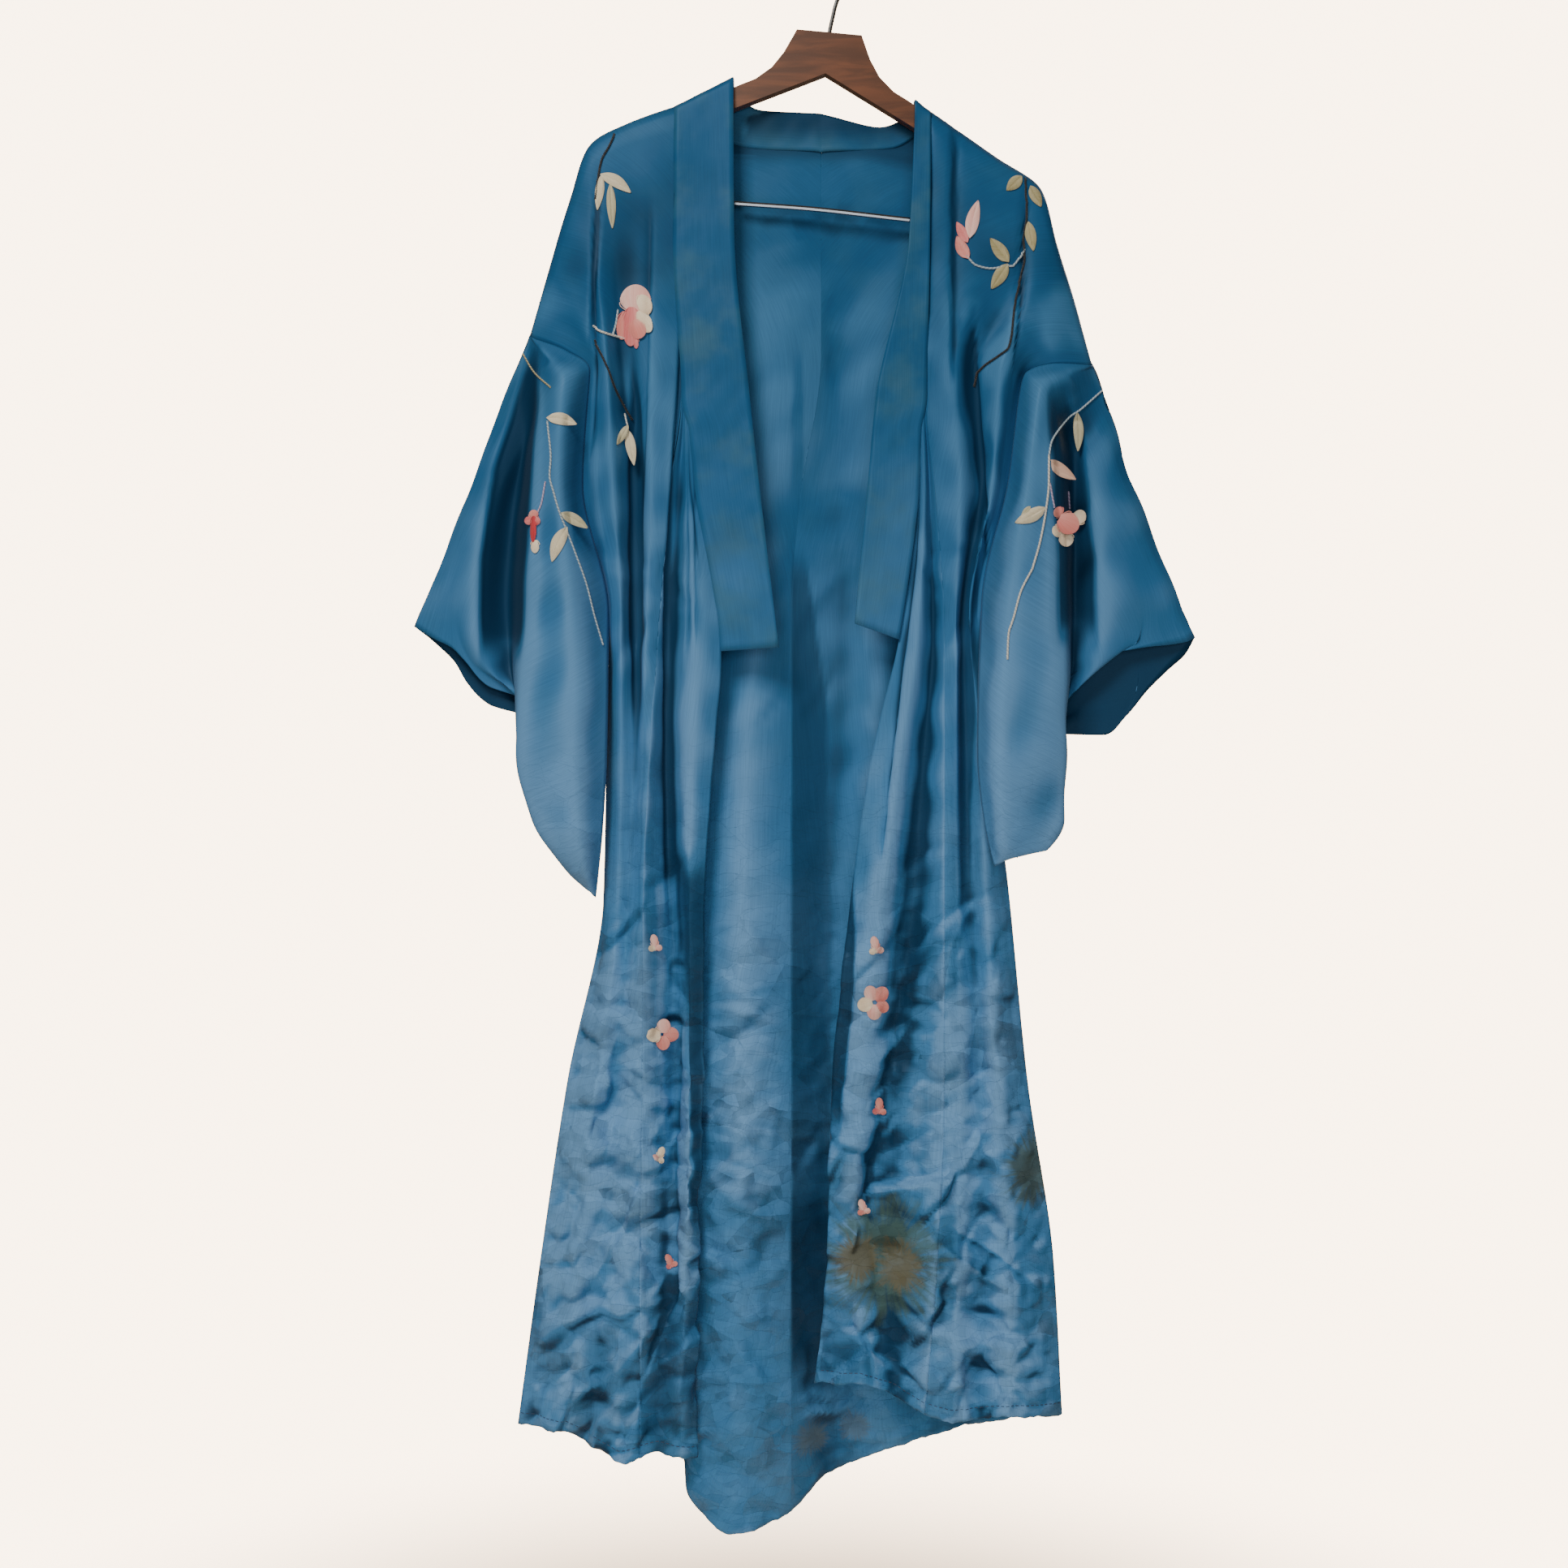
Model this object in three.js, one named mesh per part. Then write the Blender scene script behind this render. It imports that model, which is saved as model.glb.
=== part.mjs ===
// An embroidered silk kimono on a wooden hanger. Millimetres, +Z up, the open front towards -Y.
// The origin is the inside top of the hook, where a rail carries it.
// "Right" and "left" are the wearer's, so the right side lies at -X.
import * as THREE from "three";

// Driving dimensions
const clothWall = 1.2;
const collarWall = 2.6;
const seamHalfGap = 0.4; // half of the slit between two pieces that lie in line
const armholeHalfGap = 1.5; // half of the slit where sleeve and body meet at an angle

// Columns of a panel section, and sections counted from the shoulder fold
const seamColumn = 5; // the last column of a panel, sewn to the overlap strip or the collar
const openingColumn = 8; // the free edge of the overlap strip
const stripPoint = 3; // the overlap strip comes to its point
const armholeEnd = 5;
const collarEnd = 5;
const neckEnd = 3; // on the back, where the neckline meets the centre-back seam

// Stations round a sleeve, from the top fold: down the armhole, down the hanging bag to its closed bottom
const armholeStations = 4;
const bagStations = 4;

const lapWidthStep = 0.3; // column step where the overlap strip has run out
const stepsAcross = 2; // mesh steps between two folds of a panel
const stepsDown = 2; // mesh steps between two sections of a panel
const stepsRound = 2; // mesh steps between two stations of a sleeve
const stepsAlongSleeve = 3; // mesh steps between two folds of a sleeve
const stepsCollar = 4; // mesh steps across the collar band
const facingStep = 0.02; // in knots

const hangerTilt = THREE.MathUtils.degToRad(5.3);
const hangerThickness = 11;
const wireRadius = 1.9;
const barRadius = 2.4;
const wireSides = 8;

const silk = { color: 0x3a6f9a, roughness: 0.45, metalness: 0 };
const wornSilk = { color: 0x4a7288, roughness: 0.5, metalness: 0 };
const wood = { color: 0x5a3822, roughness: 0.4, metalness: 0 };
const chrome = { color: 0xc9ccd0, roughness: 0.2, metalness: 1 };

// Body panels. Each row is one section of the cloth, listed from the shoulder fold down; z may be one
// height for the whole row. Columns of a front: side, outer fold, outer crest, valley, inner crest,
// overlap seam, overlap valley, overlap roll, opening edge. Above the strip's point a row stops at
// the seam, which there is the collar seam. Columns of a back: side, four folds, centre back.
const shoulderRight = {
  x: [-283, -262, -246, -229, -195, -150],
  z: [-359, -286, -233, -187, -167, -151],
};
const shoulderLeft = {
  x: [234, 217, 202, 188, 145, 85],
  z: [-386, -325, -277, -228, -197, -155],
};
const foldRadius = [5, 5, 6, 8, 8.5, 8.5]; // how far the cloth turns out where it rides over the hanger
const foldDrop = 5;

const frontRight = [
  { x: [-249, -237, -225, -206, -178, -151],
    y: [-14, -18, -18, -14, -12, -12],
    z: [-379, -340, -299, -277, -271, -277] },
  { x: [-227, -220, -211, -196, -170, -143, -141.5, -140, -138.5],
    y: [-14, -24, -26, -12, -20, -16, -16, -16, -16],
    z: [-398, -398, -400, -404, -412, -419, -419, -419, -419] },
  { x: [-234, -219, -206, -187, -170, -152, -145, -138, -131],
    y: [-12, -26, -28, -10, -24, -22, -16, -22, -20],
    z: -502 },
  { x: [-210, -206, -198, -187, -175, -165, -153, -131, -107],
    y: [-8, -22, -26, -12, -26, -22, -12, -28, -22],
    z: [-620, -622, -626, -632, -640, -646, -650, -653, -655] },
  { x: [-213, -206, -198, -187, -178, -172, -157, -136, -114],
    y: [-1, -14, -22, -18, -26, -30, -12, -30, -22],
    z: -749 },
  { x: [-216, -210, -201, -192, -184, -178, -154, -136, -122],
    y: [-1, -13, -20, -17, -22, -26, -6, -26, -20],
    z: -884 },
  { x: [-249, -235, -220, -206, -192, -179, -151, -136, -123],
    y: [-1, -12, -20, -16, -22, -25, -6, -24, -16],
    z: -1049 },
  { x: [-274, -256, -238, -217, -198, -181, -156, -139, -127],
    y: [-1, -14, -22, -17, -24, -27, -14, -24, -14],
    z: -1214 },
  { x: [-295, -273, -249, -223, -200, -181, -165, -145, -128],
    y: [-1, -14, -23, -16, -26, -24, -16, -22, -12],
    z: [-1367, -1368, -1370, -1384, -1396, -1392, -1389, -1393, -1395] },
];

const backRight = [
  { x: [-267, -250, -232, -207, -151, -79],
    y: [8, 9, 10, 11, 12, 14],
    z: [-370, -303, -253, -211, -192, -184] },
  { x: [-249, -229, -204, -159, -91, -15],
    y: [12, 12, 12, 13, 14, 15],
    z: [-379, -331, -288, -245, -215, -188] },
  { x: [-227, -200, -163, -114, -65, -15],
    y: [14, 14, 16, 18, 12, 18],
    z: [-398, -393, -388, -382, -376, -374] },
  { x: [-232, -200, -159, -114, -65, -34], y: [12, 16, 20, 22, 12, 20], z: -504 },
  { x: [-211, -181, -148, -114, -73, -43], y: [8, 18, 22, 20, 6, 16], z: -620 },
  { x: [-213, -181, -151, -123, -84, -44], y: [1, 16, 20, 12, -4, 12], z: -749 },
  { x: [-216, -189, -157, -127, -88, -44], y: [1, 16, 20, 8, -8, 10], z: -884 },
  { x: [-249, -211, -170, -129, -88, -43], y: [1, 16, 22, 6, -10, 10], z: -1049 },
  { x: [-274, -230, -181, -130, -88, -43], y: [1, 18, 24, 6, -10, 10], z: -1214 },
  { x: [-295, -235, -150, -131, -95, -43],
    y: [1, 18, 20, 2, -10, 8],
    z: [-1366, -1376, -1396, -1443, -1466, -1451] },
];

const frontLeft = [
  { x: [201, 189, 175, 157, 126, 84],
    y: [-16, -20, -20, -14, -16, -14],
    z: [-391, -363, -337, -314, -292, -277] },
  { x: [172, 161, 148, 125, 105, 81, 79.5, 78, 76.5],
    y: [-12, -20, -26, -12, -22, -16, -16, -16, -16],
    z: [-398, -404, -408, -410, -413, -419, -419, -419, -419] },
  { x: [156, 149, 141, 131, 111, 88, 84, 79, 74],
    y: [-8, -14, -22, -10, -26, -20, -14, -20, -18],
    z: -500 },
  { x: [132, 127, 121, 115, 107, 97, 87, 72, 55],
    y: [-6, -10, -16, -10, -24, -22, -12, -26, -20],
    z: [-616, -619, -622, -625, -629, -633, -637, -640, -644] },
  { x: [142, 136, 130, 118, 108, 97, 79, 55, 31],
    y: [-1, -12, -18, -10, -24, -26, -12, -28, -18],
    z: -749 },
  { x: [157, 147, 135, 121, 109, 97, 70, 40, 13],
    y: [-1, -12, -20, -12, -22, -25, -8, -28, -16],
    z: -869 },
  { x: [175, 160, 145, 129, 111, 97, 57, 21, -6],
    y: [-1, -14, -22, -14, -22, -24, -8, -22, -12],
    z: -1049 },
  { x: [199, 177, 156, 132, 109, 90, 47, 13, -10],
    y: [-1, -16, -25, -14, -25, -26, -10, -22, -12],
    z: -1214 },
  { x: [207, 184, 157, 130, 105, 79, 51, 21, -22],
    y: [-1, -16, -26, -15, -26, -26, -14, -22, -10],
    z: [-1358, -1356, -1354, -1357, -1358, -1352, -1337, -1325, -1327] },
];

const backLeft = [
  { x: [217, 202, 189, 172, 130, 51],
    y: [9, 9, 10, 11, 12, 14],
    z: [-391, -335, -290, -248, -214, -184] },
  { x: [201, 186, 163, 130, 66, -15],
    y: [12, 12, 12, 13, 14, 15],
    z: [-395, -355, -318, -277, -232, -188] },
  { x: [172, 148, 111, 66, 2, -15],
    y: [14, 16, 18, 16, 24, 18],
    z: [-404, -403, -397, -389, -380, -374] },
  { x: [156, 133, 96, 51, -1, -34], y: [12, 18, 22, 18, 26, 20], z: [-502, -502, -503, -503, -504, -504] },
  { x: [133, 115, 81, 40, 2, -43], y: [8, 20, 22, 14, 26, 16], z: [-616, -617, -618, -619, -620, -620] },
  { x: [142, 115, 81, 40, -1, -44], y: [1, 18, 22, 16, 28, 12], z: -749 },
  { x: [157, 126, 85, 36, -9, -44], y: [1, 18, 24, 18, 30, 10], z: [-869, -872, -875, -878, -881, -884] },
  { x: [175, 137, 88, 36, -10, -43], y: [1, 18, 26, 22, 32, 10], z: -1049 },
  { x: [199, 152, 100, 40, -10, -43], y: [1, 20, 28, 22, 34, 10], z: -1214 },
  { x: [207, 163, 111, 51, -5, -43],
    y: [1, 20, 28, 24, 34, 8],
    z: [-1360, -1368, -1381, -1398, -1423, -1451] },
];

// Collar: the free fold of the band, row by row. The rows follow those of the fronts, from the
// collar's lower end up, then the shoulder, then the two neck rows of the backs.
const collarFold = {
  right: {
    front: [[-95, -16, -270], [-81, -22, -419], [-72, -26, -502], [-54, -28, -652]],
    shoulder: [-96, 0, -124],
    back: [[-73, 13, -149], [-16, 14, -152]],
  },
  left: {
    front: [[65, -13, -277], [35, -16, -419], [27, -20, -502], [15, -26, -630]],
    shoulder: [71, 0, -145],
    back: [[40, 13, -165], [-16, 14, -152]],
  },
};

// Sleeves. Each row is one long fold from the top fold to the bottom of the bag, listed from the
// armhole to the cuff; its nine stations are the top fold, four along the armhole, three down the
// hanging bag and the closed bottom. The armhole row holds only the free stations.
const sleeveRight = {
  freeFront: { x: [-210, -211, -215, -222], y: [-24, -26, -24, -16], z: [-682, -749, -817, -880] },
  freeBack: { x: [-222, -230, -233], y: [8, 1, -6], z: [-682, -749, -817] },
  folds: [
    { x: [-287, -261, -250, -253, -244, -240, -240, -237, -226],
      y: [0, -26, -38, -46, -48, -52, -54, -50, -20],
      z: [-370, -393, -415, -502, -610, -682, -749, -817, -875] },
    { x: [-294, -276, -270, -276, -278, -286, -291, -277, -244],
      y: [0, -16, -30, -42, -46, -46, -42, -38, -18],
      z: [-387, -404, -427, -509, -607, -682, -749, -809, -860] },
    { x: [-307, -294, -290, -300, -306, -303, -288, -270, -240],
      y: [0, -6, -4, 2, 2, 0, -20, -18, -11],
      z: [-416, -434, -457, -524, -607, -663, -719, -790, -860] },
    { x: [-337, -331, -329, -330, -331, -324, -279, -255, -236],
      y: [0, -8, -12, -16, -16, -12, -9, -9, -7],
      z: [-495, -517, -539, -584, -629, -667, -712, -783, -863] },
    { x: [-365, -359, -355, -352, -348, -331, -275, -249, -233],
      y: [0, -7, -9, -12, -10, -8, -5, -5, -4],
      z: [-562, -580, -595, -618, -640, -670, -709, -779, -866] },
    { x: [-391, -378, -369, -355, -343, -324, -270, -244, -230],
      y: [0, -5, -7, -9, -8, -5, -1, -1, -1],
      z: [-631, -639, -644, -651, -663, -685, -706, -775, -868] },
  ],
  backDepth: [14, 14, 11, 8, 6, 5],
  sag: [0, 2, 5, 12, 20, 17, 15, 8],
};

const sleeveLeft = {
  freeFront: { x: [128, 127, 133, 142], y: [-22, -24, -30, -30], z: [-682, -749, -813, -851] },
  freeBack: { x: [153, 163, 165], y: [6, -4, -14], z: [-682, -749, -809] },
  folds: [
    { x: [238, 208, 186, 172, 156, 150, 146, 148, 153],
      y: [0, -22, -34, -42, -46, -50, -50, -46, -34],
      z: [-395, -404, -419, -502, -614, -682, -749, -809, -845] },
    { x: [243, 220, 200, 201, 204, 205, 207, 205, 189],
      y: [0, -12, -26, -36, -38, -38, -32, -26, -28],
      z: [-408, -419, -442, -509, -611, -682, -749, -809, -836] },
    { x: [250, 235, 220, 220, 220, 217, 205, 198, 178],
      y: [0, -4, 0, 2, 2, 0, -16, -14, -24],
      z: [-427, -442, -472, -532, -611, -667, -727, -794, -836] },
    { x: [270, 259, 246, 241, 241, 240, 201, 192, 172],
      y: [0, -10, -14, -16, -16, -12, -8, -8, -20],
      z: [-487, -502, -532, -577, -622, -663, -715, -790, -839] },
    { x: [298, 291, 285, 280, 279, 261, 195, 186, 168],
      y: [0, -8, -10, -11, -10, -8, -4, -4, -17],
      z: [-558, -573, -588, -614, -641, -655, -712, -787, -842] },
    { x: [330, 322, 306, 287, 268, 246, 192, 180, 164],
      y: [0, -4, -6, -8, -8, -6, -1, -1, -15],
      z: [-641, -645, -648, -650, -653, -657, -704, -783, -844] },
  ],
  backDepth: [16, 14, 11, 8, 6, 5],
  sag: [0, 11, 23, 40, 60, 74, 26, 8],
};
const bagClearance = 5; // the bag's back layer hangs outside the body's side seam
const backSpread = [0, 0.4, 0.7, 1, 1, 1, 1, 0.6]; // share of a fold's back depth at each station

// Hanger, in its own upright frame, one half
const neckHalfWidth = 30;
const neckTop = -84;
const neckCurve = [[34, -93], [40, -106], [50, -121], [64, -133], [78, -140]];
const armTip = { x: 200, z: -208, height: 15, inset: 4 };
const armUnderside = { x: 81, z: -162 };
const apex = -122;
const barHalfSpan = 150;
const barHeight = -246;
const barBend = 12;
const hookRadius = 22;
const shankBend = [[1.5, -70], [6, -48], [18, -34]];
const hookTip = [-19, -36];
const partGap = 0.3;
const hookArcSteps = 8;
const hookSteps = 30;
const barSteps = 36;

// Monotone cubic through evenly spaced values: folds stay as deep as their table says
function slopes(values) {
  const last = values.length - 1;
  return values.map((value, i) => {
    if (i === 0) {
      return values[1] - value;
    }
    if (i === last) {
      return value - values[last - 1];
    }
    const before = value - values[i - 1];
    const after = values[i + 1] - value;
    return before * after <= 0 ? 0 : (2 * before * after) / (before + after);
  });
}

function curveThrough(values) {
  const tangents = slopes(values);
  return (t) => {
    const i = Math.max(0, Math.min(Math.floor(t), values.length - 2));
    const f = t - i;
    const g = 1 - f;
    return (
      values[i] * (1 + 2 * f) * g * g +
      tangents[i] * f * g * g +
      values[i + 1] * (3 - 2 * f) * f * f -
      tangents[i + 1] * f * f * g
    );
  };
}

// A curve through points, and a surface through rows of points: both take a place counted in knots
function pointCurve(points) {
  const parts = [0, 1, 2].map((axis) => curveThrough(points.map((p) => p[axis])));
  return (t) => parts.map((part) => part(t));
}

function surface(rows) {
  const columns = rows[0].map((_, c) => pointCurve(rows.map((row) => row[c])));
  return (u, v) => pointCurve(columns.map((column) => column(v)))(u);
}

function places(from, to, stepsPerKnot) {
  const count = Math.round((to - from) * stepsPerKnot);
  return Array.from({ length: count + 1 }, (_, i) => from + ((to - from) * i) / count);
}

function grid(shape, us, vs) {
  return vs.map((v) => us.map((u) => shape(u, v)));
}

// The points of a section; a section that stops at the seam goes on in very small columns
function rowPoints(row, columns, inward = 1) {
  const heights = Array.isArray(row.z) ? row.z : row.x.map(() => row.z);
  const points = row.x.map((x, i) => [x, row.y ? row.y[i] : 0, heights[i]]);
  while (points.length < columns) {
    const [x, y, z] = points[points.length - 1];
    points.push([x + inward * lapWidthStep, y, z]);
  }
  return points;
}

function foldOver(shoulder, side) {
  return {
    x: shoulder.x,
    y: shoulder.x.map((_, i) => side * foldRadius[i]),
    z: shoulder.z.map((z) => z - foldDrop),
  };
}

// One side of the garment: one surface from the front hem over the shoulder to the back hem
function bodySide(shoulder, front, back, inward) {
  const fronts = [foldOver(shoulder, -1), ...front];
  const backs = [foldOver(shoulder, 1), ...back];
  const sections = [...[...fronts].reverse(), shoulder, ...backs];
  const shape = surface(sections.map((row) => rowPoints(row, openingColumn + 1, inward)));
  return { shape, shoulderAt: fronts.length, rows: sections.length };
}

function shiftEdge(points, edge, distance) {
  const n = points.length;
  const at = edge === "first" ? 0 : n - 1;
  const next = edge === "first" ? 1 : n - 2;
  const a = new THREE.Vector3(...points[at]);
  const b = new THREE.Vector3(...points[next]);
  const moved = a.clone().addScaledVector(b.clone().sub(a).normalize(), distance);
  return points.map((p, i) => (i === at ? moved.toArray() : p));
}

// The direction that a surface faces, from four points close about a place on it
function facing(shape, us, vs) {
  const slope = (a, b) => new THREE.Vector3(...b).sub(new THREE.Vector3(...a));
  return vs.map((v) => us.map((u) => {
    const across = slope(shape(u - facingStep, v), shape(u + facingStep, v));
    const down = slope(shape(u, Math.max(v - facingStep, 0)), shape(u, v + facingStep));
    return across.cross(down).normalize();
  }));
}

// A wall of even thickness about a grid of points; a closed grid joins its last column to its first
function wall(points, thickness, closed = false, normals = null) {
  const rows = points.length;
  const cols = points[0].length;
  const at = (i, j) => new THREE.Vector3(...points[i][closed ? (j + cols) % cols : j]);
  const normalAt = (i, j) => {
    if (normals) {
      return normals[i][j];
    }
    const left = closed || j > 0 ? j - 1 : j;
    const right = closed || j < cols - 1 ? j + 1 : j;
    const across = at(i, right).sub(at(i, left));
    const down = at(Math.min(i + 1, rows - 1), j).sub(at(Math.max(i - 1, 0), j));
    return across.cross(down).normalize();
  };
  const positions = [];
  [-0.5, 0.5].forEach((side) => {
    for (let i = 0; i < rows; i += 1) {
      for (let j = 0; j < cols; j += 1) {
        const p = at(i, j).addScaledVector(normalAt(i, j), side * thickness);
        positions.push(p.x, p.y, p.z);
      }
    }
  });
  const index = [];
  const id = (side, i, j) => side * rows * cols + i * cols + (j % cols);
  const quad = (a, b, c, d) => index.push(a, b, c, a, c, d);
  const spans = closed ? cols : cols - 1;
  for (let i = 0; i < rows - 1; i += 1) {
    for (let j = 0; j < spans; j += 1) {
      quad(id(0, i, j), id(0, i + 1, j), id(0, i + 1, j + 1), id(0, i, j + 1));
      quad(id(1, i, j), id(1, i, j + 1), id(1, i + 1, j + 1), id(1, i + 1, j));
    }
  }
  for (let j = 0; j < spans; j += 1) {
    quad(id(0, 0, j), id(0, 0, j + 1), id(1, 0, j + 1), id(1, 0, j));
    quad(id(0, rows - 1, j + 1), id(0, rows - 1, j), id(1, rows - 1, j), id(1, rows - 1, j + 1));
  }
  if (!closed) {
    for (let i = 0; i < rows - 1; i += 1) {
      quad(id(0, i + 1, 0), id(0, i, 0), id(1, i, 0), id(1, i + 1, 0));
      quad(id(0, i, cols - 1), id(0, i + 1, cols - 1), id(1, i + 1, cols - 1), id(1, i, cols - 1));
    }
  }
  const geometry = new THREE.BufferGeometry();
  geometry.setAttribute("position", new THREE.Float32BufferAttribute(positions, 3));
  geometry.setIndex(index);
  return outward(geometry);
}

// Turns every face over if the body is inside out
function outward(geometry) {
  const p = geometry.getAttribute("position");
  const index = geometry.getIndex();
  const corner = (k) => new THREE.Vector3().fromBufferAttribute(p, index.getX(k));
  let volume = 0;
  for (let k = 0; k < index.count; k += 3) {
    volume += corner(k).dot(corner(k + 1).cross(corner(k + 2)));
  }
  if (volume < 0) {
    for (let k = 0; k < index.count; k += 3) {
      const swap = index.getX(k + 1);
      index.setX(k + 1, index.getX(k + 2));
      index.setX(k + 2, swap);
    }
  }
  geometry.computeVertexNormals();
  return geometry;
}

function bodyPanel(side) {
  const us = places(0, seamColumn, stepsAcross);
  const vs = places(0, side.rows - 1, stepsDown);
  const points = grid(side.shape, us, vs)
    .map((row) => shiftEdge(row, "first", armholeHalfGap))
    .map((row) => shiftEdge(row, "last", seamHalfGap));
  return wall(points, clothWall, false, facing(side.shape, us, vs));
}

function overlapStrip(side) {
  const us = places(seamColumn, openingColumn, stepsAcross);
  const vs = places(0, side.shoulderAt - stripPoint, stepsDown);
  const points = grid(side.shape, us, vs)
    .map((row) => shiftEdge(row, "first", seamHalfGap))
    .map((row) => shiftEdge(row, "last", seamHalfGap));
  return wall(points, clothWall, false, facing(side.shape, us, vs));
}

// The collar seam runs along the overlap strip's free edge, then the panel's, then the neckline
function collarHalf(side, fold) {
  const stripTop = side.shoulderAt - stripPoint;
  const lowerEnd = side.shoulderAt - collarEnd;
  const vs = places(lowerEnd, side.shoulderAt + neckEnd, stepsDown);
  const [x, y, z] = fold.shoulder;
  const lip = (direction) => [x, y + direction * foldRadius[seamColumn], z - foldDrop];
  const knots = [...[...fold.front].reverse(), lip(-1), fold.shoulder, lip(1), ...fold.back];
  const foldCurve = pointCurve(knots);
  return vs.map((v) => {
    const seam = side.shape(v <= stripTop ? openingColumn : seamColumn, v);
    const free = foldCurve(v - lowerEnd);
    return places(0, 1, stepsCollar).map((f) => seam.map((s, axis) => s + (free[axis] - s) * f));
  });
}

function collar(right, left) {
  const rightRows = collarHalf(right, collarFold.right);
  const leftRows = collarHalf(left, collarFold.left);
  const rows = [...rightRows, ...leftRows.reverse().slice(1)];
  return wall(rows.map((row) => shiftEdge(row, "first", seamHalfGap + collarWall / 4)), collarWall);
}

// The sleeve's rings: each goes from the top fold down the front, round the bottom and up the back
function sleeve(side, table) {
  const seamAt = (station, direction) => side.shape(0, side.shoulderAt + direction * station);
  const freeFront = rowPoints(table.freeFront, bagStations);
  const freeBack = rowPoints(table.freeBack, bagStations - 1);
  const bottom = armholeStations + bagStations;
  const foldRows = table.folds.map((fold, n) => ringKnots(rowPoints(fold, bottom + 1), table, n));
  const ringCurves = foldRows.map((knots) => pointCurve([...knots, knots[0]]));
  const frontTail = pointCurve([seamAt(armholeEnd, -1), ...freeFront]);
  const tip = freeFront[bagStations - 1];
  const backTail = pointCurve([tip, ...[...freeBack].reverse(), seamAt(armholeEnd, 1)]);
  const seamCurve = (s) => {
    if (s <= armholeStations) {
      return seamAt(stationToRow(s), -1);
    }
    if (s <= bottom) {
      return frontTail(s - armholeStations);
    }
    if (s <= bottom + bagStations) {
      return backTail(s - bottom);
    }
    return seamAt(stationToRow(2 * bottom - s), 1);
  };
  const ss = places(0, 2 * bottom, stepsRound).slice(0, -1);
  const along = places(0, table.folds.length, stepsAlongSleeve);
  const columns = ss.map((s) => pointCurve([seamCurve(s), ...ringCurves.map((curve) => curve(s))]));
  const points = along.map((v) => columns.map((column) => column(v)));
  points[0] = points[0].map((p, j) => {
    const from = new THREE.Vector3(...p);
    const to = new THREE.Vector3(...points[1][j]);
    return from.addScaledVector(to.sub(from).normalize(), armholeHalfGap).toArray();
  });
  return wall(points, clothWall, true);
}

// The first armhole station spans two panel sections: the fold's lip and the one below it
function stationToRow(s) {
  return s < 1 ? 2 * s : s + 1;
}

// One long fold of a sleeve, all round: the back layer follows the front's outline at its own depth
function ringKnots(front, table, n) {
  const share = (n + 1) / table.folds.length;
  const outward = Math.sign(front[0][0]);
  const back = front.slice(1, -1).map(([x, , z], i) => {
    const station = i + 1;
    const edge = table.freeBack.x[station - armholeStations - 1] ?? x;
    const clear = outward * Math.max(outward * x, outward * edge + bagClearance);
    return [
      station > armholeStations ? clear : x,
      table.backDepth[n] * backSpread[station],
      z - table.sag[station] * share * share,
    ];
  });
  return [...front, ...back.reverse()];
}

function hangerArms() {
  const half = [[neckHalfWidth, neckTop], ...neckCurve, [armTip.x, armTip.z]];
  const below = [[armTip.x - armTip.inset, armTip.z - armTip.height], [armUnderside.x, armUnderside.z]];
  const rightHalf = [...half, ...below];
  const leftHalf = [...rightHalf].reverse().map(([x, z]) => [-x, z]);
  const outline = [...rightHalf, [0, apex], ...leftHalf].map(([x, z]) => new THREE.Vector2(x, z));
  const geometry = new THREE.ExtrudeGeometry(new THREE.Shape(outline), {
    depth: hangerThickness,
    bevelEnabled: false,
  });
  geometry.translate(0, 0, -hangerThickness / 2);
  geometry.rotateX(Math.PI / 2);
  return geometry;
}

function wire(points, radius, steps) {
  const bends = points.map(([x, z]) => new THREE.Vector3(x, 0, z));
  const path = new THREE.CatmullRomCurve3(bends, false, "centripetal");
  const section = Array.from({ length: wireSides }, (_, i) => {
    const angle = (2 * Math.PI * i) / wireSides;
    return new THREE.Vector2(radius * Math.cos(angle), radius * Math.sin(angle));
  });
  return new THREE.ExtrudeGeometry(new THREE.Shape(section), { steps, extrudePath: path });
}

function hook() {
  const centre = -hookRadius + wireRadius;
  const arc = places(0, 1, hookArcSteps).map((f) => {
    const angle = Math.PI * f;
    return [hookRadius * Math.cos(angle), centre + hookRadius * Math.sin(angle)];
  });
  const path = [[0, neckTop + partGap], ...shankBend, ...arc, hookTip];
  return wire(path, wireRadius, hookSteps);
}

function trouserBar() {
  const underside = (x) => {
    const tip = [armTip.x - armTip.inset, armTip.z - armTip.height];
    const f = (x - armUnderside.x) / (tip[0] - armUnderside.x);
    return armUnderside.z + (tip[1] - armUnderside.z) * f;
  };
  const endHeight = underside(barHalfSpan + barRadius) - partGap;
  const half = [
    [barHalfSpan, endHeight],
    [barHalfSpan, barHeight + barBend],
    [barHalfSpan - barBend / 3, barHeight + barBend / 3],
    [barHalfSpan - barBend, barHeight],
  ];
  const path = [...half, [0, barHeight], ...[...half].reverse().map(([x, z]) => [-x, z])];
  return wire(path, barRadius, barSteps);
}

function addPiece(group, name, geometry, look) {
  const mesh = new THREE.Mesh(geometry, new THREE.MeshStandardMaterial(look));
  mesh.name = name;
  group.add(mesh);
}

const rightSide = bodySide(shoulderRight, frontRight, backRight, 1);
const leftSide = bodySide(shoulderLeft, frontLeft, backLeft, -1);

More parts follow.
